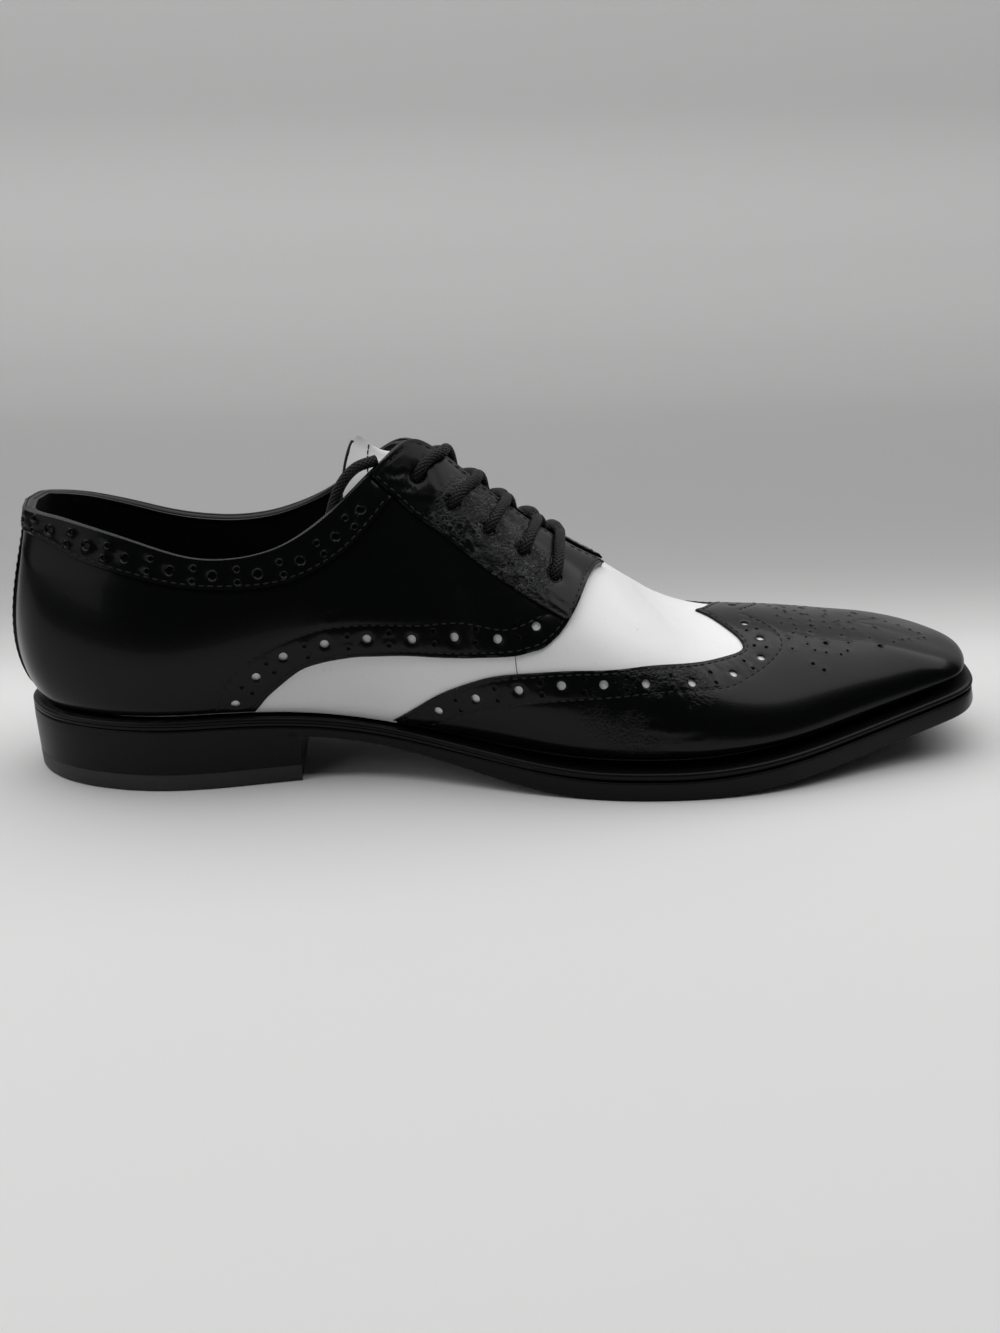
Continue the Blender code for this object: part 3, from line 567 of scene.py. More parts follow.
def finish_mesh(name, points, faces, materials, slots=None, sharp=50):
    """A closed, welded mesh object with its faces turned out, riding with the shoe."""
    mesh = bpy.data.meshes.new(name)
    bm = bmesh.new()
    verts = [bm.verts.new(point) for point in points]
    for number, face in enumerate(faces):
        try:
            made = bm.faces.new([verts[k] for k in face])
        except ValueError:
            continue
        made.material_index = 0 if slots is None else slots[number]
    bmesh.ops.remove_doubles(bm, verts=bm.verts, dist=2e-6)
    bmesh.ops.dissolve_degenerate(bm, edges=bm.edges, dist=1e-7)
    bmesh.ops.delete(bm, geom=[v for v in bm.verts if not v.link_faces], context="VERTS")
    bmesh.ops.recalc_face_normals(bm, faces=bm.faces)
    bm.to_mesh(mesh)
    bm.free()
    for material in materials:
        mesh.materials.append(material)
    mesh.shade_smooth()
    mesh.set_sharp_from_angle(angle=np.radians(sharp))
    piece = new_object(name, mesh)
    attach(piece, "root")
    return piece


def grid_solid(under, over, loop=False):
    """Quads that close two grids of points, (rows, wide, 3), into one shell."""
    rows, wide = over.shape[:2]
    points = np.vstack([over.reshape(-1, 3), under.reshape(-1, 3)])
    faces, slots = [], []
    last = rows if loop else rows - 1
    for a in range(last):
        b = (a + 1) % rows
        for k in range(wide - 1):
            quad = (a * wide + k, b * wide + k, b * wide + k + 1, a * wide + k + 1)
            faces += [quad, tuple(rows * wide + q for q in quad[::-1])]
            slots += [0, 1]
        for k in (0, wide - 1):
            p, q = a * wide + k, b * wide + k
            faces.append((p, q, q + rows * wide, p + rows * wide))
            slots.append(0 if k else 1)
    if not loop:
        for a in (0, rows - 1):
            for k in range(wide - 1):
                p = a * wide + k
                faces.append((p, p + 1, p + 1 + rows * wide, p + rows * wide))
                slots.append(0)
    return points, faces, slots


def trough(points, line, deep, wide):
    """A soft crease along a line of places, with the leather heaped a little beside it."""
    away = distance_to(points, line)
    heaped = np.exp(-((away - 1.9 * wide) / wide) ** 2)
    return deep * (0.4 * heaped - np.exp(-(away / wide) ** 2))


VAMP_CREASES = (
    (((11.75, 0.90), (11.95, 0.84), (12.05, 0.76)), 0.00022, 0.0022),
    (((12.20, 0.88), (12.40, 0.82), (12.45, 0.74)), 0.00018, 0.0018),
    (((11.25, 0.90), (11.35, 0.82), (11.30, 0.70)), 0.00014, 0.0030),
    (((10.60, 0.62), (10.95, 0.56), (11.40, 0.60)), 0.00010, 0.0026),
)
LINED_RIM_ENDS, LINED_RIM_UP = 10.1, 0.98
UNDER_WING_BEGINS, UNDER_WING_UP = 6.3, 0.03
columns = np.arange(0, COLUMNS, 2)
rows = np.arange(0, ROWS + 1, 2)
outside = LAST[np.ix_(columns, rows)]
outward = OUTWARD[np.ix_(columns, rows)]
lift = np.zeros(outside.shape[:2]).ravel()
for line, deep, wide in VAMP_CREASES:
    for crease in (line, mirrored(line)):
        lift += trough(outside.reshape(-1, 3), on_last(spline(crease)), deep, wide)
over = outside + outward * lift.reshape(outside.shape[:2])[..., None]
points, faces, slots = grid_solid(outside - outward * WALL, over, loop=True)
ribs_from_back = np.minimum(columns, COLUMNS - columns) / PER_RIB
covered = np.repeat(ribs_from_back < LINED_RIM_ENDS, len(rows))
covered &= np.tile(rows / ROWS > LINED_RIM_UP, len(columns))
under_wing = np.repeat(ribs_from_back > UNDER_WING_BEGINS, len(rows))
covered |= under_wing & np.tile(rows / ROWS < UNDER_WING_UP, len(columns))
for number, face in enumerate(faces):
    if covered[np.array(face) % len(covered)].sum() > 1:
        slots[number] = 1
vamp = finish_mesh("vamp_and_lining", points, faces, [white_leather, lining_leather], slots)
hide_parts("upper")


def tube(name, centres, radius, material, sides_round=12):
    """A closed tube of one radius, or one for each point, along a run of places."""
    centres = np.array(centres, float)
    radii = np.broadcast_to(radius, len(centres))
    tangent = np.gradient(centres, axis=0)
    tangent /= np.linalg.norm(tangent, axis=1, keepdims=True)
    normal = np.cross(tangent[0], (0.3, 0.2, 1))
    rings, run = [], np.linalg.norm(np.gradient(centres, axis=0), axis=1).cumsum()
    for place, along, r in zip(centres, tangent, radii):
        normal = normal - along * (normal @ along)
        normal /= np.linalg.norm(normal)
        other = np.cross(along, normal)
        turns = np.arange(sides_round) * 2 * np.pi / sides_round
        rings.append(place + r * (np.outer(np.cos(turns), normal)
                                  + np.outer(np.sin(turns), other)))
    count = len(centres)
    points = np.vstack([np.array(rings).reshape(-1, 3), centres[:1], centres[-1:]])
    faces = []
    for a in range(count - 1):
        for k in range(sides_round):
            m = (k + 1) % sides_round
            faces.append((a * sides_round + k, a * sides_round + m,
                          (a + 1) * sides_round + m, (a + 1) * sides_round + k))
    for k in range(sides_round):
        m = (k + 1) % sides_round
        faces.append((count * sides_round, m, k))
        faces.append((count * sides_round + 1, (count - 1) * sides_round + k,
                      (count - 1) * sides_round + m))
    mesh = bpy.data.meshes.new(name)
    mesh.from_pydata(points.tolist(), [], faces)
    layer = mesh.uv_layers.new(name="run")
    for face in mesh.polygons:
        first = mesh.vertices[face.vertices[0]].index // sides_round
        for corner in face.loop_indices:
            index = mesh.loops[corner].vertex_index
            a, k = min(index // sides_round, count - 1), index % sides_round
            wrap = 1.0 if k == 0 and any(mesh.loops[c].vertex_index % sides_round
                                         == sides_round - 1 for c in face.loop_indices) else 0.0
            layer.data[corner].uv = (k / sides_round + wrap, run[a])
    mesh.shade_smooth()
    mesh.materials.append(material)
    piece = new_object(name, mesh)
    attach(piece, "root")
    return piece


seam_thread = leather_finish("seam thread", (0.05, 0.05, 0.05), 0.7, 3000, 0.00005)
for side, turn in (("outer", np.array), ("inner", mirrored)):
    line = even(turn(SIDE_SEAM), 0.0008)
    piece = tube(f"side_seam_{side}", on_last(line, 0.00003), SEAM_THREAD / 2, seam_thread, 6)

# Quarters
# Black polished leather covers both sides from the back seam to the laces. Its lower edge
# swoops over the waist, and a band along that edge is punched and sewn down with two rows.
LEATHER, SEAM, HEM = 0.0009, 0.0003, 0.015
BLACK, BLACK_WORN = (0.0024, 0.0028, 0.0030), (0.007, 0.007, 0.008)
FIRST = GAP / 3
QUARTER_EDGE = ((4.33, HEM), (4.53, 0.14), (4.93, 0.28), (5.30, 0.325), (5.80, 0.332),
                (6.25, 0.317), (7.16, 0.288), (7.72, 0.284), (8.11, 0.296), (8.39, 0.311),
                (8.67, 0.332), (8.94, 0.362), (9.18, 0.392), (9.50, 0.455))
QUARTER_FRONT = ((9.50, 0.455), (9.78, 0.53), (10.20, 0.67), (10.93, 0.965))
QUARTER_ROW = ((3.85, 0.03), (4.05, 0.235), (4.42, 0.385), (4.90, 0.475), (5.40, 0.50),
               (5.90, 0.475), (7.00, 0.395), (8.00, 0.385), (8.60, 0.40), (9.03, 0.455),
               (9.40, 0.515))
QUARTER_HOLES = ((4.10, 0.085), (4.40, 0.265), (4.80, 0.385), (5.43, 0.425), (6.12, 0.40),
                 (6.90, 0.355), (7.68, 0.345), (8.43, 0.365), (9.15, 0.455))
FACING_EDGE_RIB = 10.10
LARGE_HOLE, SMALL_HOLE = 0.00135, 0.00062
PAIR_APART = 0.0019
EDGE_ROW = 0.0015
RIM_ROUND = 0.00045
FLAT = np.array((0.017, 0.070))


def inside_loop(points, loop):
    """Which points lie inside a closed outline, all in the flat pattern."""
    inside = np.zeros(len(points), bool)
    for a, b in zip(loop, np.roll(loop, -1, axis=0)):
        crosses = (a[1] > points[:, 1]) != (b[1] > points[:, 1])
        with np.errstate(divide="ignore", invalid="ignore"):
            cut = (b[0] - a[0]) * (points[:, 1] - a[1]) / (b[1] - a[1]) + a[0]
        inside ^= crosses & (points[:, 0] < cut)
    return inside


def apart_from(points, others, distance):
    """Those of the points that keep a distance from all the others, in the flat pattern."""
    kept = []
    cell = {}
    for p in others:
        cell.setdefault((int(p[0] // distance), int(p[1] // distance)), []).append(p)
    for p in points:
        x, y = int(p[0] // distance), int(p[1] // distance)
        near = [q for i in (x - 1, x, x + 1) for j in (y - 1, y, y + 1) for q in cell.get((i, j), ())]
        if all((p[0] - q[0]) ** 2 + (p[1] - q[1]) ** 2 > distance ** 2 for q in near):
            kept.append(p)
            cell.setdefault((x, y), []).append(p)
    return kept


def pairs_between(holes):
    """The two small holes that lie one over the other between each two large ones."""
    found = []
    for a, b in zip(holes[:-1], holes[1:]):
        line = even([a, b], 0.001)
        middle = [line[len(line) // 2]]
        for side in (-PAIR_APART, PAIR_APART):
            found.append(beside(line, side)[len(line) // 2])
    return found


def leather_piece(name, outline, depth, finish, holes=(), pits=(), rows=(), spacing=0.0015,
                  thick=LEATHER, relief=None, sunk=0.00016, raised=0.00009):
    """A piece of leather on the last: cut to its outline, punched, and pressed in along its rows."""
    loop = np.array(outline, float)
    loops = [loop]
    extra = []
    for inset, share in ((0.00022, 0.6), (0.0007, 0.7)):
        around = beside(np.vstack([loop[-1:], loop, loop[:1]]), inset)[1:-1]
        extra.append((around, inset * share))
    for row in rows:
        for shift in (0.0, -0.00055, 0.00055):
            extra.append((beside(even(row, 0.0009), shift), 0.00032))
    for at, radius in holes:
        loops.append(ring(at, radius, 16))
        extra.append((ring(at, radius + 0.0005, 16), 0.00025))
    for at, radius in pits:
        loops.append(ring(at, radius, 10))
        loops.append(ring(at, radius * 0.7, 8))
        extra.append((ring(at, radius + 0.0003, 12), 0.00018))
        extra.append((ring(at, radius + 0.0007, 14), 0.00028))
    flat_loops = [lp * FLAT for lp in loops]
    edge_line = loop * FLAT
    fixed = np.vstack(flat_loops)
    kept = list(map(tuple, fixed))
    count_fixed = len(kept)
    added = []
    for points, keep_away in extra:
        points = points[(points[:, 1] > 0.001) & (points[:, 1] < 0.9995)] * FLAT
        points = points[inside_loop(points, edge_line)]
        added += apart_from(list(map(tuple, points)), kept + added, keep_away)
    low, high = edge_line.min(axis=0), edge_line.max(axis=0)
    grid = []
    for number, y in enumerate(np.arange(low[1], high[1], spacing * 0.866)):
        x = np.arange(low[0] + (number % 2) * spacing / 2, high[0], spacing)
        grid.append(np.column_stack([x, np.full(len(x), y)]))
    grid = np.vstack(grid)
    grid = grid[inside_loop(grid, edge_line)]
    added += apart_from(list(map(tuple, grid)), kept + added, spacing * 0.62)
    edges, loop_faces, start = [], [], 0
    for lp in flat_loops:
        numbers = list(range(start, start + len(lp)))
        area = np.sum(lp[:, 0] * np.roll(lp[:, 1], -1) - np.roll(lp[:, 0], -1) * lp[:, 1])
        edges += [(a, b) for a, b in zip(numbers, numbers[1:] + numbers[:1])]
        loop_faces.append(numbers if area > 0 else numbers[::-1])
        start += len(lp)
    scale = 1000.0
    coords = [(p[0] * scale, p[1] * scale) for p in kept + added]
    verts, _, faces, _, _, owners = delaunay_2d_cdt(coords, edges, loop_faces, 0, 1e-4)
    punched = set(range(1, 1 + len(holes)))
    flat = np.array([tuple(v) for v in verts]) / scale / FLAT
    faces = [f for f, owner in zip(faces, owners) if 0 in owner and not punched & set(owner)]
    base, outward = read_last(flat)
    edge_places = []
    closed = (loop[:, 1] > 0.9999) & (loop[:, 0] > 10.98) & (loop[:, 0] < 2 * TIP - 10.98)
    for k in range(len(loop)):
        if not (closed[k] and closed[(k + 1) % len(loop)]):
            edge_places.append(on_last([loop[k], loop[(k + 1) % len(loop)]]))
    to_edge = np.full(len(base), np.inf)
    for a, b in edge_places:
        side = b - a
        t = np.clip((base - a) @ side / max(side @ side, 1e-12), 0, 1)
        to_edge = np.minimum(to_edge, np.linalg.norm(base - a - t[:, None] * side, axis=1))
    inner = np.clip(1 - to_edge / RIM_ROUND, 0, 1)
    top = thick - RIM_ROUND * (1 - np.sqrt(1 - inner**2))
    for row in rows:
        top -= sunk * np.exp(-(distance_to(base, on_last(even(row, 0.0015))) / 0.0005) ** 2)
    for at, radius in holes:
        away = np.linalg.norm(base - on_last([at]), axis=1) - radius
        top -= 0.00022 * np.clip(1 - away / 0.0005, 0, 1) ** 1.5
    for at, radius in pits:
        away = np.linalg.norm(base - on_last([at]), axis=1) / radius
        top -= 0.0006 * np.clip((1.02 - away) / 0.3, 0, 1)
        top += raised * np.exp(-(((away - 1) * radius - 0.0003) / 0.0002) ** 2)
    if relief is not None:
        top += relief(base, flat) * np.clip(to_edge / 0.003, 0, 1)
    top = np.maximum(top, 0.00012)
    over = base + outward * (depth + top)[:, None]
    under = base + outward * depth
    place = np.unique(np.round(base * 1e6), axis=0, return_inverse=True)[1].reshape(-1)
    used = {}
    for a, b, c in faces:
        for edge in ((a, b), (b, c), (c, a)):
            used.setdefault(frozenset((place[edge[0]], place[edge[1]])), []).append(edge)
    count = len(flat)
    solid = [tuple(f) for f in faces] + [tuple(count + k for k in f[::-1]) for f in faces]
    for found in used.values():
        if len(found) == 1:
            a, b = found[0]
            solid.append((b, a, a + count, b + count))
    piece = finish_mesh(name, np.vstack([over, under]), solid, [finish])
    return piece


STITCH, STITCH_GAP, THREAD, THREAD_SUNK = 0.0019, 0.0008, 0.0005, 0.0001


def sew(name, rows, depth, finish):
    """The stitches of some rows, each a short length of thread that dips in at both ends."""
    shape = np.array([(-1.0, 0.45, -0.9), (-0.62, 0.9, 0.1), (0.0, 1.0, 0.5), (0.62, 0.9, 0.1),
                      (1.0, 0.45, -0.9)])
    turns = np.arange(6) * np.pi / 3
    points, faces = [], []
    for row in rows:
        line = even(row, (STITCH + STITCH_GAP) / 4)
        places, outward = read_last(line)
        places = places + outward * depth
        for start in range(0, len(line) - 4, 4):
            middle, up = places[start + 2], outward[start + 2]
            along = places[start + 4] - places[start]
            along /= np.linalg.norm(along)
            side = np.cross(up, along)
            first = len(points)
            for reach, girth, high in shape:
                centre = middle + along * reach * STITCH / 2 + up * high * THREAD * 0.3
                for a in turns:
                    points.append(centre + THREAD / 2 * girth * (side * np.cos(a)
                                                                 + 0.75 * up * np.sin(a)))
            for a in range(4):
                for k in range(6):
                    m = (k + 1) % 6
                    faces.append((first + a * 6 + k, first + a * 6 + m,
                                  first + a * 6 + 6 + m, first + a * 6 + 6 + k))
            faces.append(tuple(first + k for k in range(5, -1, -1)))
            faces.append(tuple(first + 24 + k for k in range(6)))
    mesh = bpy.data.meshes.new(name)
    mesh.from_pydata(np.array(points).tolist(), [], faces)
    mesh.shade_smooth()
    mesh.materials.append(finish)
    piece = new_object(name, mesh)
    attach(piece, "root")
    return piece


black_leather = leather_finish("black leather", BLACK, 0.24, 2300, 0.000016, coat=0.08,
                               coat_roughness=0.08, mottle=0.3, wear=BLACK_WORN,
                               shine=0.15)
black_thread = leather_finish("black thread", (0.007, 0.007, 0.0068), 0.55, 4200, 0.00008,
                              shine=0.25)
seam = SEAM / 2 / (BALL_WIDTH / 6)
front = spline(QUARTER_FRONT)
quarter = np.vstack([[(seam, HEM)], even([(seam, HEM), QUARTER_EDGE[0]], 0.001)[1:],
                     even(spline(QUARTER_EDGE), 0.001)[1:], even(front, 0.001)[1:],
                     even([front[-1], (FACING_EDGE_RIB, 1)], 0.001)[1:],
                     even([(FACING_EDGE_RIB, 1), (seam, 1)], 0.0013)[1:],
                     even([(seam, 1), (seam, HEM)], 0.001)[1:-1]])
QUARTER_CREASES = (
    (((8.70, 0.53), (8.30, 0.50), (7.90, 0.485)), 0.00022, 0.0008),
    (((9.00, 0.52), (8.70, 0.47), (8.35, 0.45)), 0.00018, 0.0008),
    (((7.30, 0.62), (7.00, 0.60), (6.60, 0.61)), 0.00014, 0.0009),
    (((5.60, 0.56), (5.95, 0.545), (6.40, 0.56)), 0.00012, 0.0009),
)


def quarter_relief(turn):
    def relief(base, flat):
        lift = np.zeros(len(base))
        for line, deep, wide in QUARTER_CREASES:
            lift += trough(base, on_last(spline(turn(line))), deep, wide)
        return lift
    return relief


for side, turn in (("outer", np.array), ("inner", mirrored)):
    edge_row = beside(even(spline([*QUARTER_EDGE, *QUARTER_FRONT[1:3]]), 0.001), EDGE_ROW)[2:-9]
    rows = [turn(edge_row), turn(even(spline(QUARTER_ROW), 0.001))]
    holes = [(at, LARGE_HOLE) for at in turn(QUARTER_HOLES)]
    pits = [(at, SMALL_HOLE) for at in turn(pairs_between(QUARTER_HOLES))]
    piece = leather_piece(f"quarter_panel_{side}", turn(quarter), FIRST, black_leather, holes,
                          pits, rows, relief=quarter_relief(turn))
    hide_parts(f"quarter_{side}")
    sew(f"quarter_stitches_{side}", rows, FIRST + LEATHER - THREAD_SUNK, black_thread)

# Wing cap
# One piece of black leather covers the toe and runs back along both sides in long wings. Its
# edge is punched and sewn like the quarters', and the toe has a medallion of punched holes.
WING_EDGE = ((6.23, HEM), (6.66, 0.095), (7.19, 0.166), (7.98, 0.230), (8.58, 0.274),
             (9.44, 0.335), (10.43, 0.390), (11.62, 0.480), (12.55, 0.577), (13.08, 0.640),
             (13.23, 0.71), (13.22, 0.80), (13.08, 0.93), (12.88, 1.0))
WING_ROW = ((6.88, 0.03), (7.48, 0.10), (8.15, 0.155), (9.25, 0.23), (10.50, 0.295),
            (12.08, 0.385), (12.75, 0.46), (13.35, 0.545), (13.80, 0.64), (14.00, 0.76),
            (13.92, 0.88), (13.70, 0.965))
WING_HOLES = ((7.08, 0.10), (7.78, 0.165), (8.55, 0.225), (9.28, 0.28), (9.98, 0.315),
              (10.70, 0.345), (11.576, 0.389), (12.53, 0.48), (13.28, 0.58), (13.60, 0.72),
              (13.60, 0.86))
# Holes of the medallion: along the toe from its middle, aside from its axis, and radius, in mm.
MEDALLION_MIDDLE, MEDALLION_ASIDE = 0.2080, -0.0014
MEDALLION = (
    (-0.7, 4.8, 1.15), (22.2, 0.0, 1.2), (2.0, 15.2, 1.15), (19.8, 14.6, 1.15),
    (-5.1, 24.8, 0.8), (-1.7, 26.2, 0.8),
    (-6.5, 0.0, 0.55), (0.1, 0.0, 0.55), (5.1, 0.0, 0.55), (-9.8, 4.2, 0.55),
    (-6.7, 5.1, 0.55), (-6.6, 8.2, 0.55), (1.0, 6.9, 0.55), (-2.5, 9.6, 0.55),
    (-8.4, 11.0, 0.55), (-10.2, 14.2, 0.55), (-4.7, 12.9, 0.55), (-4.6, 16.3, 0.55),
    (-10.0, 19.3, 0.55), (-2.9, 19.2, 0.55), (0.3, 20.5, 0.55), (4.8, 20.2, 0.55),
    (8.2, 18.0, 0.55), (9.6, 13.8, 0.55), (10.2, 4.7, 0.55), (6.2, 4.5, 0.55),
    (9.5, 1.2, 0.5), (13.7, 4.0, 0.55), (17.0, 10.6, 0.55), (8.4, 9.2, 0.55),
    (25.0, 11.3, 0.6), (28.7, 8.7, 0.6), (32.2, 6.2, 0.6), (35.4, 3.9, 0.6), (38.2, 1.7, 0.6),
)
WING_CREASES = (
    (((11.60, 0.47), (11.70, 0.42), (11.62, 0.36)), 0.00020, 0.0006),
    (((11.95, 0.51), (12.02, 0.45), (11.95, 0.38)), 0.00024, 0.0006),
    (((12.22, 0.53), (12.30, 0.47), (12.22, 0.40)), 0.00020, 0.0005),
    (((12.50, 0.58), (12.62, 0.52), (12.60, 0.45)), 0.00022, 0.0006),
    (((12.85, 0.62), (12.98, 0.56), (12.98, 0.50)), 0.00018, 0.0005),
    (((10.15, 0.34), (10.25, 0.27), (10.18, 0.18)), 0.00014, 0.0007),
    (((10.50, 0.36), (10.60, 0.28), (10.52, 0.18)), 0.00018, 0.0006),
    (((10.85, 0.36), (10.95, 0.27), (10.90, 0.18)), 0.00018, 0.0007),
    (((11.25, 0.36), (11.35, 0.28), (11.30, 0.19)), 0.00016, 0.0006),
    (((10.00, 0.22), (10.60, 0.20), (11.20, 0.205)), 0.00012, 0.0008),
    (((10.30, 0.14), (10.90, 0.13), (11.40, 0.145)), 0.00012, 0.0008),
)


def on_toe(along, aside):
    """The place on the toe, as rib and up, under a point of the medallion's plan."""
    target = (MEDALLION_MIDDLE + along * 0.001, MEDALLION_ASIDE + aside * 0.001)
    ribs = slice(12 * PER_RIB, (2 * TIP - 12) * PER_RIB)
    away = np.linalg.norm(LAST[ribs, ROWS // 3:, :2] - target, axis=-1)
    c, r = np.unravel_index(np.argmin(away), away.shape)
    return (12 + c / PER_RIB, min((r + ROWS // 3) / ROWS, 0.965))


def wing_relief(base, flat):
    lift = np.zeros(len(base))
    for line, deep, wide in WING_CREASES:
        for crease in (line, mirrored(line)):
            lift += trough(base, on_last(spline(crease)), deep, wide)
    return lift


near = even(spline(WING_EDGE), 0.001)
ridge_ribs = np.concatenate([np.arange(WING_EDGE[-1][0], TIP, 0.07), [TIP]])
ridge_ribs = np.concatenate([ridge_ribs, 2 * TIP - ridge_ribs[-2::-1]])
ridge = np.column_stack([ridge_ribs, np.ones(len(ridge_ribs))])
foot = even([WING_EDGE[0], (2 * TIP - WING_EDGE[0][0], HEM)], 0.0013)
wing = np.vstack([foot[:-1], mirrored(near)[::-1][:-1], ridge[::-1][:-1], near[::-1][:-1]])
holes, pits = [], []
for turn in (np.array, mirrored):
    holes += [(at, LARGE_HOLE) for at in turn(WING_HOLES)]
    pits += [(at, SMALL_HOLE) for at in turn(pairs_between(WING_HOLES))]
medallion = []
for along, aside, radius in MEDALLION:
    for side in ((-1, 1) if aside else (1,)):
        medallion.append((on_toe(along, side * aside), radius * 0.00078))
placed = []
for at, radius in medallion:
    spot = on_last([at])[0]
    clear = all(np.linalg.norm(spot - other) > radius + size + 0.0006 for other, size in placed)
    if clear and all(np.linalg.norm(spot - on_last([hole])[0]) > 0.0035 for hole, _ in holes):
        placed.append((spot, radius))
        pits.append((at, radius))
wing_rows = []
for turn in (np.array, mirrored):
    wing_rows.append(turn(beside(near, -0.0013)[2:-2]))
    wing_rows.append(turn(even(spline(WING_ROW), 0.001)))
bent_place = on_last([(10.8, 0.25)])[0] * (1, -1, 1)
# Its crinkles have a painted highlight on their ridges, with some broken finish.
bent_leather = leather_finish("bent black leather", BLACK, 0.24, 2300, 0.000016, coat=0.08,
                              coat_roughness=0.08, mottle=0.3, wear=BLACK_WORN,
                              shine=0.15, crackle=0.0004, crackle_size=620,
                              crackle_round=tuple(bent_place), crackle_reach=(0.006, 0.026),
                              glint_and_broken_finish=(0.016, 0.017, 0.018))
piece = leather_piece("wing_cap_panel", wing, FIRST, bent_leather, holes, pits, wing_rows,
                      spacing=0.0013, relief=wing_relief)
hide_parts("wing_cap")
sew("wing_cap_stitches", wing_rows, FIRST + LEATHER - THREAD_SUNK, black_thread)

# Facings
# A soft black leather, finely wrinkled, makes the two lacing flaps. Each is sewn over the
# quarter along a slanting seam and has five plain punched eyelets.
FACING_SEAM = ((6.65, 1.0), (7.10, 0.835), (7.65, 0.685), (8.43, 0.585), (9.08, 0.545),
               (9.66, 0.515))
EYELETS = ((7.78, 0.825), (8.34, 0.757), (8.84, 0.74), (9.36, 0.738), (9.79, 0.69))
EYELET = 0.0021
SECOND = FIRST + LEATHER + GAP / 3
SOFT_BLACK = (0.0030, 0.0034, 0.0037)
FACING_CREASES = (
    (((7.05, 0.93), (7.25, 0.88), (7.50, 0.86)), 0.00034, 0.0007),
    (((7.15, 0.86), (7.40, 0.81), (7.62, 0.79)), 0.00030, 0.0006),
    (((7.30, 0.79), (7.60, 0.745), (7.95, 0.73)), 0.00041, 0.0007),
    (((7.55, 0.73), (7.85, 0.70), (8.15, 0.70)), 0.00030, 0.0006),
    (((7.95, 0.66), (8.20, 0.655), (8.50, 0.67)), 0.00038, 0.0007),
    (((8.20, 0.63), (8.45, 0.63), (8.75, 0.645)), 0.00026, 0.0006),
    (((8.45, 0.70), (8.55, 0.65), (8.62, 0.60)), 0.00030, 0.0006),
    (((8.60, 0.61), (8.85, 0.61), (9.10, 0.635)), 0.00038, 0.0007),
    (((8.95, 0.66), (9.02, 0.61), (9.05, 0.57)), 0.00030, 0.0006),
    (((9.10, 0.60), (9.30, 0.60), (9.50, 0.625)), 0.00034, 0.0006),
    (((9.40, 0.65), (9.45, 0.60), (9.48, 0.55)), 0.00034, 0.0006),
    (((9.55, 0.59), (9.72, 0.57), (9.80, 0.57)), 0.00026, 0.0006),
    (((8.00, 0.90), (8.12, 0.86), (8.18, 0.80)), 0.00022, 0.0009),
    (((8.50, 0.90), (8.58, 0.85), (8.60, 0.78)), 0.00022, 0.0009),
    (((8.98, 0.90), (9.05, 0.84), (9.05, 0.77)), 0.00022, 0.0009),
    (((9.48, 0.92), (9.53, 0.85), (9.50, 0.76)), 0.00022, 0.0009),
)
EYELET_PULL, EYELET_REACH = 0.0005, 0.0034
SWELL = 0.00025

# Its crinkles have a pale, bluish painted highlight on their ridges, with some broken finish.
soft_leather = leather_finish("soft black leather", SOFT_BLACK, 0.24, 1700, 0.00004, coat=0.10,
                              coat_roughness=0.10, mottle=0.3, crackle=0.0009,
                              crackle_size=600, wear=BLACK_WORN, shine=0.11,
                              crackle_round=tuple(on_last([(8.7, 0.66)])[0] * (1, -1, 1)),
                              crackle_reach=(0.017, 0.026), glint_and_broken_finish=(0.11, 0.115, 0.12))


def facing_relief(turn):
    def relief(base, flat):
        lift = np.zeros(len(base))
        for line, deep, wide in FACING_CREASES:
            lift += trough(base, on_last(spline(turn(line))), deep, wide)
        for at in turn(EYELETS):
            away = np.linalg.norm(base - on_last([at]), axis=1)
            lift -= EYELET_PULL * np.exp(-(away / EYELET_REACH) ** 2)
        for a, b in zip(turn(EYELETS)[:-1], turn(EYELETS)[1:]):
            away = np.linalg.norm(base - on_last([(a + b) / 2]), axis=1)
            lift += SWELL * np.exp(-(away / (1.6 * EYELET_REACH)) ** 2)
        return lift
    return relief


seam_line = even(spline(FACING_SEAM), 0.001)
front_run = front[front[:, 1] > FACING_SEAM[-1][1]]
facing = np.vstack([seam_line[:-1], even([seam_line[-1], front_run[0]], 0.001)[:-1],
                    even(front_run, 0.001), even([front_run[-1], (FACING_EDGE_RIB, 1)], 0.001)[1:],
                    even([(FACING_EDGE_RIB, 1), FACING_SEAM[0]], 0.0012)[1:-1]])
front_row = beside(even([*front_run, (FACING_EDGE_RIB, 0.99)], 0.001), 0.0015)[1:-4]
throat_row = beside(even([(FACING_EDGE_RIB - 0.05, 1), (7.62, 1)], 0.001), 0.0016)[2:-1]
collar_row = beside(even([(7.45, 1), (6.80, 1)], 0.001), 0.0016)[1:-1]
for side, turn in (("outer", np.array), ("inner", mirrored)):
    rows = [turn(beside(seam_line, 0.0012)[2:-1]), turn(front_row), turn(throat_row),
            turn(collar_row)]
    holes = [(at, EYELET) for at in turn(EYELETS)]
    piece = leather_piece(f"facing_panel_{side}", turn(facing), SECOND, soft_leather, holes, (),
                          rows, spacing=0.0011, relief=facing_relief(turn))
    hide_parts(f"facing_{side}")
    sew(f"facing_stitches_{side}", rows, SECOND + LEATHER - THREAD_SUNK, black_thread)

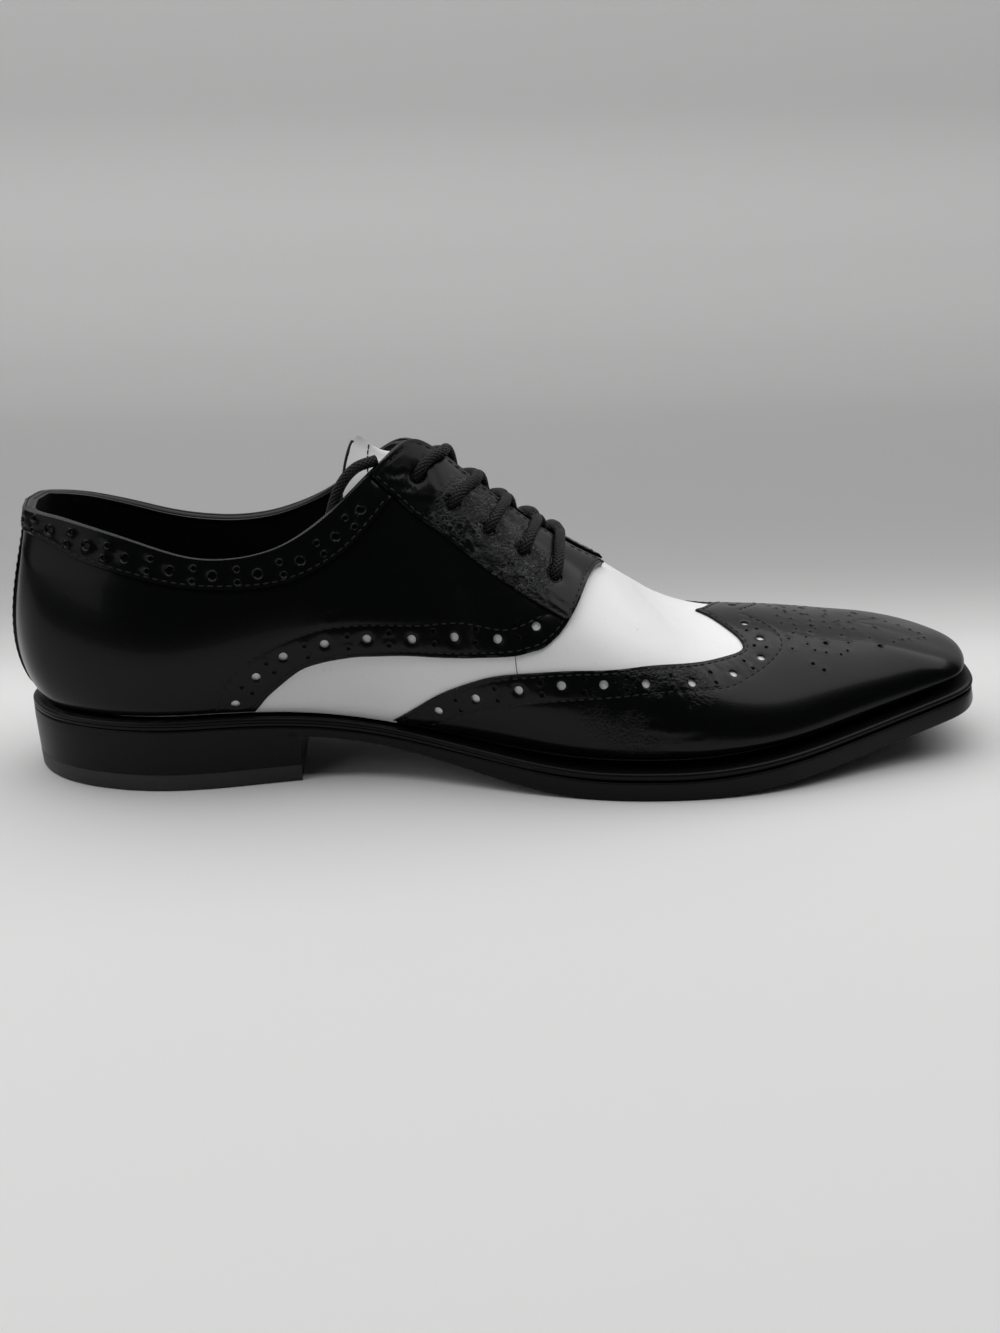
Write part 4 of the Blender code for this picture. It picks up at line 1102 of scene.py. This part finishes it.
# Collar bands
# A band of black leather runs round the collar from the facing to the back strip on each side.
# It is punched like the other edges, and its lower edge is sewn with one row.
STRIP_RIB = 0.28
BAND_EDGE = ((0.30, 0.905), (1.43, 0.88), (2.27, 0.82), (3.20, 0.80), (4.17, 0.81),
             (5.10, 0.79), (6.18, 0.775), (6.98, 0.80))
BAND_HOLES = ((1.05, 0.945), (1.75, 0.93), (2.40, 0.905), (2.95, 0.895), (3.55, 0.895),
              (4.12, 0.90), (4.73, 0.885), (5.38, 0.87), (6.00, 0.865), (6.50, 0.875))
BAND_HOLE = 0.0012
band_start = STRIP_RIB + 2 * seam
band_edge = spline(BAND_EDGE)
band_edge = np.vstack([[(band_start, BAND_EDGE[0][1])], band_edge[band_edge[:, 0] > band_start]])
band_end = seam_line[seam_line[:, 1] > band_edge[-1][1]][::-1] - (4 * seam, 0)
band_edge = np.vstack([band_edge[:-1], band_end[:1]])
band = np.vstack([even(band_edge, 0.001), even(band_end, 0.001)[1:],
                  even([band_end[-1], (band_start, 1)], 0.0012)[1:],
                  even([(band_start, 1), band_edge[0]], 0.001)[1:-1]])
for side, turn in (("outer", np.array), ("inner", mirrored)):
    rows = [turn(beside(even(band_edge, 0.001), 0.0013)[3:-2])]
    holes = [(at, BAND_HOLE) for at in turn(BAND_HOLES)]
    pits = [(at, SMALL_HOLE) for at in turn(pairs_between(BAND_HOLES))]
    piece = leather_piece(f"collar_band_panel_{side}", turn(band), SECOND, black_leather,
                          (), pits + holes, rows, spacing=0.0013, raised=0.00024)
    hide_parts(f"collar_band_{side}")
    sew(f"collar_band_stitches_{side}", rows, SECOND + LEATHER - THREAD_SUNK, black_thread)

# Back strip
# A narrow strip of the same leather covers the seam up the back and is sewn along both edges.
strip = np.vstack([even([(-STRIP_RIB, HEM), (STRIP_RIB, HEM)], 0.001)[:-1],
                   even([(STRIP_RIB, HEM), (STRIP_RIB, 1)], 0.001)[:-1],
                   even([(STRIP_RIB, 1), (-STRIP_RIB, 1)], 0.001)[:-1],
                   even([(-STRIP_RIB, 1), (-STRIP_RIB, HEM)], 0.001)[:-1]])
rows = [even([(side * STRIP_RIB * 0.68, 0.04), (side * STRIP_RIB * 0.68, 0.96)], 0.001)
        for side in (-1, 1)]
piece = leather_piece("back_strip_panel", strip, SECOND, black_leather, (), (), rows,
                      spacing=0.001)
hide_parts("back_strip")
sew("back_strip_stitches", rows, SECOND + LEATHER - THREAD_SUNK, black_thread)

# Collar binding
# A strip of thin black leather is folded over the top line and rolled to a round edge, from
# the top of one facing round the heel to the other.
BINDING, BINDING_SINK = 0.0016, 0.0013
rim = even([(8.10, 1), (0, 1)], 0.0015)
rim = np.vstack([rim, mirrored(rim)[1:] - (2 * TIP, 0)])
rim_places, rim_outward = read_last(rim)
rim_places = rim_places + rim_outward * ((SECOND + LEATHER - WALL) / 2)
rim_places[:, 2] -= BINDING_SINK
rim_share = np.linspace(0, 1, len(rim))
rim_girth = BINDING * np.minimum(1, 0.45 + 14 * np.minimum(rim_share, 1 - rim_share))
piece = tube("collar_binding", rim_places, rim_girth, black_leather, 14)

# Tongue
# White calf lies under the laces. It stands up past the facings, with a row of black stitches
# near its end, and its cut end is dyed black.
TONGUE, TONGUE_HALF = 0.0019, 12
TONGUE_ROWS = ((10.7, 0.0), (10.2, 0.0), (9.7, 0.0), (9.2, 0.0002), (8.7, 0.0008), (8.2, 0.0018),
               (7.8, 0.0030))
TONGUE_SIDE = 0.61
TONGUE_END = (
    (0.0074, 0.0011, 0.0115, 0.0045, 0.0022),
    (0.0119, 0.0038, 0.0200, 0.0078, 0.0042),
    (0.0145, 0.0057, 0.0280, 0.0105, 0.0062),
)


def tongue_row(rib, depth):
    """Places from the outer side over the throat to the inner, under one rib."""
    ups = np.linspace(TONGUE_SIDE, 0.94, TONGUE_HALF // 2)
    outer = on_last(np.column_stack([np.full(len(ups), rib), ups]), depth)
    inner = on_last(np.column_stack([np.full(len(ups), 2 * TIP - rib), ups]), depth)
    crown = on_last([(rib, 1), (2 * TIP - rib, 1)], depth).mean(axis=0)
    return spline(np.vstack([outer, crown, inner[::-1]]), 2)


def tongue_layer(depth):
    edge_share = np.abs(np.linspace(-1, 1, 2 * TONGUE_HALF + 1))
    side = np.sign(np.linspace(-1, 1, 2 * TONGUE_HALF + 1))
    found = [tongue_row(rib, depth - sunk) for rib, sunk in TONGUE_ROWS]
    last = found[-1]
    for back, up, edge_back, edge_up, edge_in in TONGUE_END:
        found.append(last + np.column_stack([-back - (edge_back - back) * edge_share,
                                             -side * edge_share * edge_in,
                                             up + (edge_up - up) * edge_share]))
    found = np.array(found)
    return spline(found.reshape(len(found), -1), 5).reshape(-1, 2 * TONGUE_HALF + 1, 3)


upper_layer, lower_layer = tongue_layer(-WALL - GAP), tongue_layer(-WALL - GAP - TONGUE)
points, faces, _ = grid_solid(lower_layer, upper_layer)
ends = 2 * TONGUE_HALF + 1
at_end = np.arange(len(points)) % (len(points) // 2) >= len(points) // 2 - ends
dyed = [int(at_end[list(face)].all()) for face in faces]
tongue = finish_mesh("tongue_leather", points, faces, [white_leather, soft_leather], dyed)
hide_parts("tongue")
end = upper_layer[-1] * 0.6 + lower_layer[-1] * 0.4
for side, half in (("outer", end[:TONGUE_HALF - 1]), ("inner", end[TONGUE_HALF + 2:])):
    piece = tube(f"tongue_edge_{side}", spline(half, 3), TONGUE * 0.42, soft_leather, 10)
TONGUE_ROW_BACK = 6
row = upper_layer[-1 - TONGUE_ROW_BACK]
across = np.linspace(0, len(row) - 1, 12 * len(row))
fine = np.column_stack([np.interp(across, np.arange(len(row)), row[:, k]) for k in range(3)])
run = np.concatenate([[0], np.cumsum(np.linalg.norm(np.diff(fine, axis=0), axis=1))])
TONGUE_STITCH, TONGUE_STITCH_GAP, TONGUE_THREAD = 0.0014, 0.0005, 0.00022
threads = []
for start in np.arange(0.001, run[-1] - TONGUE_STITCH, TONGUE_STITCH + TONGUE_STITCH_GAP):
    at = np.linspace(start, start + TONGUE_STITCH, 5)
    places = np.column_stack([np.interp(at, run, fine[:, k]) for k in range(3)])
    places += (0, 0, 0.0001)
    places[[0, -1]] -= (0, 0, 0.0004)
    threads.append(tube("tongue_stitch", places, TONGUE_THREAD, black_thread, 6))
with bpy.context.temp_override(active_object=threads[0], selected_editable_objects=threads):
    bpy.ops.object.join()
threads[0].name = "tongue_stitches"

# Lace
# One round waxed black lace goes down into each eyelet from above. The lowest run is straight,
# and the others lean to the toe and cross in the gap between the facings.
LACE = 0.0034
LACE_SIDES = 14
LACE_LEANS = (0.56, 0.48, 0.42, 0.38, 0.33)
LACE_END = ((0.0690, -0.0094, 0.0977), (0.0629, -0.0120, 0.0961), (0.0584, -0.0135, 0.0916),
            (0.0555, -0.0147, 0.0848), (0.0538, -0.0170, 0.0770), (0.0528, -0.0195, 0.0690),
            (0.0522, -0.0212, 0.0600), (0.0522, -0.0220, 0.0500), (0.0520, -0.0218, 0.0400),
            (0.0495, -0.0208, 0.0318), (0.0430, -0.0192, 0.0272), (0.0345, -0.0176, 0.0280),
            (0.0265, -0.0160, 0.0284))
FACING_TOP = SECOND + LEATHER


def braided(name, colour):
    """Waxed cord: two sets of strands that cross, from waves along and round the run, painted darker
    in the low parts of the weave as painted shade.
    """
    made = bpy.data.materials.new(name)
    made.use_nodes = True
    shader = made.node_tree.nodes["Principled BSDF"]
    shader.inputs["Roughness"].default_value = 0.5
    shader.inputs["Specular IOR Level"].default_value = 0.22
    run = node(made, "ShaderNodeUVMap", uv_map="run")
    split = node(made, "ShaderNodeSeparateXYZ")
    join(made, run, "UV", split, "Vector")
    waves = []
    for hand in (-1, 1):
        turn = node(made, "ShaderNodeMath", operation="MULTIPLY")
        join(made, split, "X", turn, 0)
        turn.inputs[1].default_value = hand * 8 * 2 * np.pi
        along = node(made, "ShaderNodeMath", operation="MULTIPLY_ADD")
        join(made, split, "Y", along, 0)
        along.inputs[1].default_value = 4300
        join(made, turn, "Value", along, 2)
        wave = node(made, "ShaderNodeMath", operation="SINE")
        join(made, along, "Value", wave, 0)
        waves.append(wave)
    weave = node(made, "ShaderNodeMath", operation="MAXIMUM")
    join(made, waves[0], "Value", weave, 0)
    join(made, waves[1], "Value", weave, 1)
    bump = node(made, "ShaderNodeBump", Strength=1.0, Distance=0.00045)
    join(made, weave, "Value", bump, "Height")
    join(made, bump, "Normal", shader, "Normal")
    # Painted shade: the colour is darker where the weave lies low, between the strands.
    tone = node(made, "ShaderNodeMix", data_type="RGBA")
    tone.inputs["A"].default_value = (*[c * 0.35 for c in colour], 1)
    tone.inputs["B"].default_value = (*colour, 1)
    high = node(made, "ShaderNodeMapRange", From_Min=-0.6, From_Max=1.0)
    join(made, weave, "Value", high, "Value")
    join(made, high, "Result", tone, "Factor")
    join(made, tone, "Result", shader, "Base Color")
    return made


lace_cord = braided("lace cord", (0.0060, 0.0066, 0.0066))


def lace_side(eyelet, lean, turn, dip):
    """One side's run: up out of its eyelet, over the facing's edge and down into the gap."""
    rib, up = eyelet
    run = []
    for leant, climbed, depth in ((0.0, 0.0, -0.0022), (0.0, 0.0, 0.0002),
                                  (0.12, 0.08, FACING_TOP + 0.0006),
                                  (0.35, 0.26, FACING_TOP + 0.0013),
                                  (0.65, 0.53, FACING_TOP + 0.0012),
                                  (0.92, 0.84, FACING_TOP + 0.0012)):
        at = turn([(rib + lean * leant, up + (1 - up) * climbed)])
        run.append(on_last(at, depth)[0])
    edge = turn([(rib + lean, 1.0)])
    far = on_last([(2 * TIP - edge[0][0], 1.0)])[0]
    near = on_last(edge)[0]
    run.append(near * 0.84 + far * 0.16 + (0.0018, 0, 0.0024 + dip * 0.4))
    run.append(near * 0.5 + far * 0.5 + (0.0030, 0, 0.0008 + dip))
    run.append(near * 0.12 + far * 0.88 + (0.0040, 0, -0.0030 + dip * 0.4))
    return run


pieces = []
for number, (eyelet, lean) in enumerate(zip(EYELETS[::-1], LACE_LEANS[::-1])):
    name = f"lace_run_{number}"
    if number == 0:
        outer = lace_side(eyelet, lean, np.array, 0.0002)[:-2]
        inner = lace_side(eyelet, lean, mirrored, 0.0002)[:-2]
        middle = (outer[-1] + inner[-1]) / 2 + (0, 0, 0.0002)
        run = spline([*outer, middle, *inner[::-1]], 5)
        parts = [tube(name, run, LACE / 2, lace_cord, LACE_SIDES)]
        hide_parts("lace_bar")
    else:
        parts = []
        for side, turn, dip in (("outer", np.array, 0.0006), ("inner", mirrored, -0.0024)):
            run = spline(lace_side(eyelet, lean, turn, dip), 5)
            parts.append(tube(f"{name}_{side}", run, LACE / 2, lace_cord, LACE_SIDES))
        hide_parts(f"lace_crossing_{number}")

end_run = spline(LACE_END, 4)
lace_end = tube("lace_loose_end", end_run, LACE / 2, lace_cord, LACE_SIDES)
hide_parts("lace_end")

# Welt
# A strip of black leather runs round the shoe between the upper and the outsole. Its upper
# edge slopes, and an open groove runs under it round the front of the shoe.
EDGE_REAR, EDGE_FORE, WIDENS = 0.0015, 0.0034, (0.33, 0.52)
THICKENS_START = 0.35
SPINE_START, SPINE_END = 0.1, 0.88
WELT_WIDTH = 0.013
GROOVE_DEPTH, GROOVE_OPENS = 0.0012, (0.45, 0.60)
TIP_TRIM, TIP_BEGINS, TIP_ENDS, TIP_SLOPE = 0.0042, (16.6, 18.0), (20.6, 22.4), 0.3
WELT_DROP, WELT_LIFT = 0.0011, 0.0004
WELT_SECTION = ((-0.0060, 0.0024), (-0.0016, 0.0026), (-0.0007, 0.00255), (-0.0003, 0.0023),
                (0.0, 0.0018), (0.0, 0.0013), (-0.00012, 0.00108), (-0.0004, 0.0010))
GROOVE_FLOOR = ((0.0, 0.0009), (0.0, 0.0001))
WELT_FOOT = ((-0.0003, 0.0), (-0.0030, 0.0))
SOLE_BLACK = (0.0045, 0.0048, 0.0054)
sole_leather = leather_finish("sole edge", SOLE_BLACK, 0.34, 1300, 0.00004, coat=0.06,
                              coat_roughness=0.2, mottle=0.3, wear=(0.010, 0.010, 0.011),
                              shine=0.12)


def edge_margin(along):
    """How far the sole stands out past the upper: more at the front than at the heel."""
    return EDGE_REAR + (EDGE_FORE - EDGE_REAR) * ramp(along, *WIDENS)


def outsole_top(along):
    return feather_height(along) - WELT - 2 * GAP


def outsole_under(along):
    thick = OUTSOLE_REAR + (OUTSOLE_FORE - OUTSOLE_REAR) * ramp(along, THICKENS_START, ARCH_END)
    return np.maximum(outsole_top(along) - thick, 0)


def spine_of(plan):
    """The line that the two sides of a level of the sole share."""
    along = along_of(plan)
    inside = np.clip(plan[:, 0], SPINE_START * LENGTH - HEEL_CENTRE,
                     SPINE_END * LENGTH - HEEL_CENTRE)
    return np.column_stack([inside, TOE_SHIFT * np.clip(along, 0, 1)])


def strips(section, closed):
    """Faces over rings of points, (places round the foot, points in one section, 3)."""
    count, deep = section.shape[:2]
    faces = []
    for a in range(count):
        b = (a + 1) % count
        for k in range(deep if closed else deep - 1):
            m = (k + 1) % deep
            faces.append((a * deep + k, b * deep + k, b * deep + m, a * deep + m))
    return section.reshape(-1, 3), faces


SOLE_STEP = 0.125
sole_ribs = np.arange(0, 2 * TIP, SOLE_STEP)
sole_plan, _ = foot_line(sole_ribs)
sole_along = along_of(sole_plan)
groove = GROOVE_DEPTH * ramp(sole_along, *GROOVE_OPENS)
tip_trim = TIP_TRIM * ramp(sole_ribs, *TIP_BEGINS) * (1 - ramp(sole_ribs, *TIP_ENDS))
inward = spine_of(sole_plan) - sole_plan
inward *= (WELT_WIDTH / np.linalg.norm(inward, axis=1))[:, None]


def sole_ring(out, height, base, trimmed=1.0):
    """One line round the sole, moved out by some metres and at a height over a level."""
    plan, _ = foot_line(sole_ribs, edge_margin(sole_along) - tip_trim * trimmed + out)
    return np.column_stack([plan, base(along_of(plan)) + height])


def drop(along):
    """The joint between welt and outsole lies lower at the front of the shoe."""
    return WELT_DROP * ramp(along, *GROOVE_OPENS)


def welt_base(along):
    return feather_height(along) - GAP - WELT - drop(along)


rings = [sole_ring(out, height, welt_base) for out, height in WELT_SECTION]
rings += [sole_ring(out - groove, height, welt_base) for out, height in GROOVE_FLOOR]
rings += [sole_ring(out - groove, height, welt_base) for out, height in WELT_FOOT]
for height in (0, WELT):
    plan = sole_plan + inward
    rings.append(np.column_stack([plan, welt_base(along_of(plan)) + height]))
rings[-2][:, 2] += WELT_LIFT
points, faces = strips(np.stack(rings, 1), True)
welt = finish_mesh("welt_strip", points, faces, [sole_leather], sharp=60)
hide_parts("welt")

# Outsole
# One thick black sole, thinner at the waist and seat, is trimmed with the welt and polished
# round its edge. Both of its corners are rounded, except where the heel meets it.
SOLE_ROUND = ((-0.0007, 0.0), (-0.00025, -0.00008), (-0.00006, -0.0003), (0.0, -0.0007))
FLOOR_ROUND = ((-0.0004, 0.0), (-0.00012, -0.00006), (0.0, -0.00035))
HEEL_JOINT = (0.27, 0.31)


def level_solid(top_line, bottom_line, sections_top, sections_bottom):
    """A full level of the sole, with its top and bottom corners shaped by small sections."""
    spine = spine_of(sole_plan)
    rings = [np.column_stack([spine, top_line(along_of(spine))])]
    rings += [sole_ring(out, height, top_line) for out, height in sections_top]
    free = ramp(sole_along, *HEEL_JOINT)
    rings += [sole_ring(out * free, -height * free, bottom_line, TIP_SLOPE)
              for out, height in sections_bottom[::-1]]
    rings.append(np.column_stack([spine, bottom_line(along_of(spine))]))
    return strips(np.stack(rings, 1), False)


points, faces = level_solid(lambda along: outsole_top(along) - drop(along), outsole_under,
                            SOLE_ROUND, FLOOR_ROUND)
outsole = finish_mesh("outsole_leather", points, faces, [sole_leather], sharp=60)
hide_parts("outsole")

# Heel and top piece
# The block is stacked and stained the same black, so only the lowest lift shows as a faint
# joint. Both are cut straight across under the arch.
TOP_PIECE = 0.0056
HEEL_TAPER = 0.0008
LIFT_JOINT = 0.00006
HEEL_STEP = 0.06
BREAST = HEEL_LENGTH - HEEL_CENTRE
top_rubber = leather_finish("top piece rubber", (0.005, 0.005, 0.0053), 0.5, 1500, 0.00006,
                            coat=0.05, mottle=0.35, wear=(0.016, 0.016, 0.016))


def heel_outline(margin):
    """Plan from the breast on the outer side round the back to the inner side."""
    found = []
    for first, last in ((0, 6), (2 * TIP, 2 * TIP - 6)):
        ribs = np.arange(0, 6, HEEL_STEP) * np.sign(last - first) + first
        plan, _ = foot_line(ribs, np.reshape(edge_margin(along_of(foot_line(ribs)[0])) + margin,
                                             -1))
        beyond = int(np.argmax(plan[:, 0] > BREAST))
        a, b = plan[beyond - 1], plan[beyond]
        plan[beyond] = a + (b - a) * (BREAST - a[0]) / (b[0] - a[0])
        found.append((beyond, plan))
    most = min(found[0][0], found[1][0])
    sides_found = []
    for beyond, plan in found:
        share = np.linspace(0, beyond, most + 1)
        sides_found.append(np.column_stack([np.interp(share, np.arange(beyond + 1),
                                                      plan[:beyond + 1, k]) for k in (0, 1)]))
    outer, inner = sides_found
    return np.vstack([outer[::-1], inner[1:]])


def heel_solid(levels):
    """Levels are (margin, height for the places along the foot), from the top down."""
    rings = []
    for margin, height in levels:
        plan = heel_outline(margin)
        across = np.linspace(0, 1, 9)[1:-1, None]
        breast = plan[-1] * (1 - across) + plan[0] * across
        plan = np.vstack([plan, breast])
        rings.append(np.column_stack([plan, height(along_of(plan))]))
    count = min(len(r) for r in rings)
    rings = [r[:count] if len(r) == count else r for r in rings]
    middle = np.array([(0.0, 0.0)])
    points = [np.column_stack([middle, levels[0][1](along_of(middle))]), *rings,
              np.column_stack([middle, levels[-1][1](along_of(middle))])]
    faces = []
    for a in range(count):
        b = (a + 1) % count
        faces.append((0, 1 + a, 1 + b))
        for k in range(len(rings) - 1):
            p, q = 1 + k * count, 1 + (k + 1) * count
            faces.append((p + a, q + a, q + b, p + b))
        low = 1 + (len(rings) - 1) * count
        faces.append((low + count, low + b, low + a))
    return np.vstack(points), faces


def level(height):
    return lambda along: height + 0 * along


def under(drop):
    return lambda along: outsole_under(along) - drop


joint_share = TOP_PIECE / HEEL_HEIGHT
points, faces = heel_solid([(0.0, under(0.0)),
                            (-HEEL_TAPER * (1 - joint_share), level(TOP_PIECE + 0.0004)),
                            (-HEEL_TAPER * (1 - joint_share) - 0.0001,
                             level(TOP_PIECE + LIFT_JOINT))])
heel = finish_mesh("heel_block", points, faces, [sole_leather], sharp=55)
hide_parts("heel")
points, faces = heel_solid([(-HEEL_TAPER * (1 - joint_share) - 0.0001, level(TOP_PIECE)),
                            (-HEEL_TAPER * (1 - joint_share), level(TOP_PIECE - 0.0003)),
                            (-HEEL_TAPER, level(0.0006)), (-HEEL_TAPER - 0.0003, level(0.0001)),
                            (-HEEL_TAPER - 0.0007, level(0.0))])
top_piece = finish_mesh("top_piece_rubber", points, faces, [top_rubber], sharp=55)
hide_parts("top_piece")

# Insole
# A sock of black leather covers the whole inside of the foot and dips a little at the heel.
INSOLE, INSOLE_CLEARANCE = 0.0024, 0.0016
spine = spine_of(sole_plan)
rings = [np.column_stack([spine, feather_height(along_of(spine)) + INSOLE * 0.8])]
for out, height in ((-0.008, 0.85), (-0.0012, 1.0), (-0.0003, 0.85), (0.0, 0.5), (0.0, 0.0)):
    plan, _ = foot_line(sole_ribs, 0 * sole_along - WALL - INSOLE_CLEARANCE + out)
    rings.append(np.column_stack([plan, feather_height(along_of(plan)) + INSOLE * height]))
rings.append(np.column_stack([spine, feather_height(along_of(spine))]))
points, faces = strips(np.stack(rings, 1), False)
insole = finish_mesh("insole_sock", points, faces, [lining_leather], sharp=60)
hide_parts("insole")
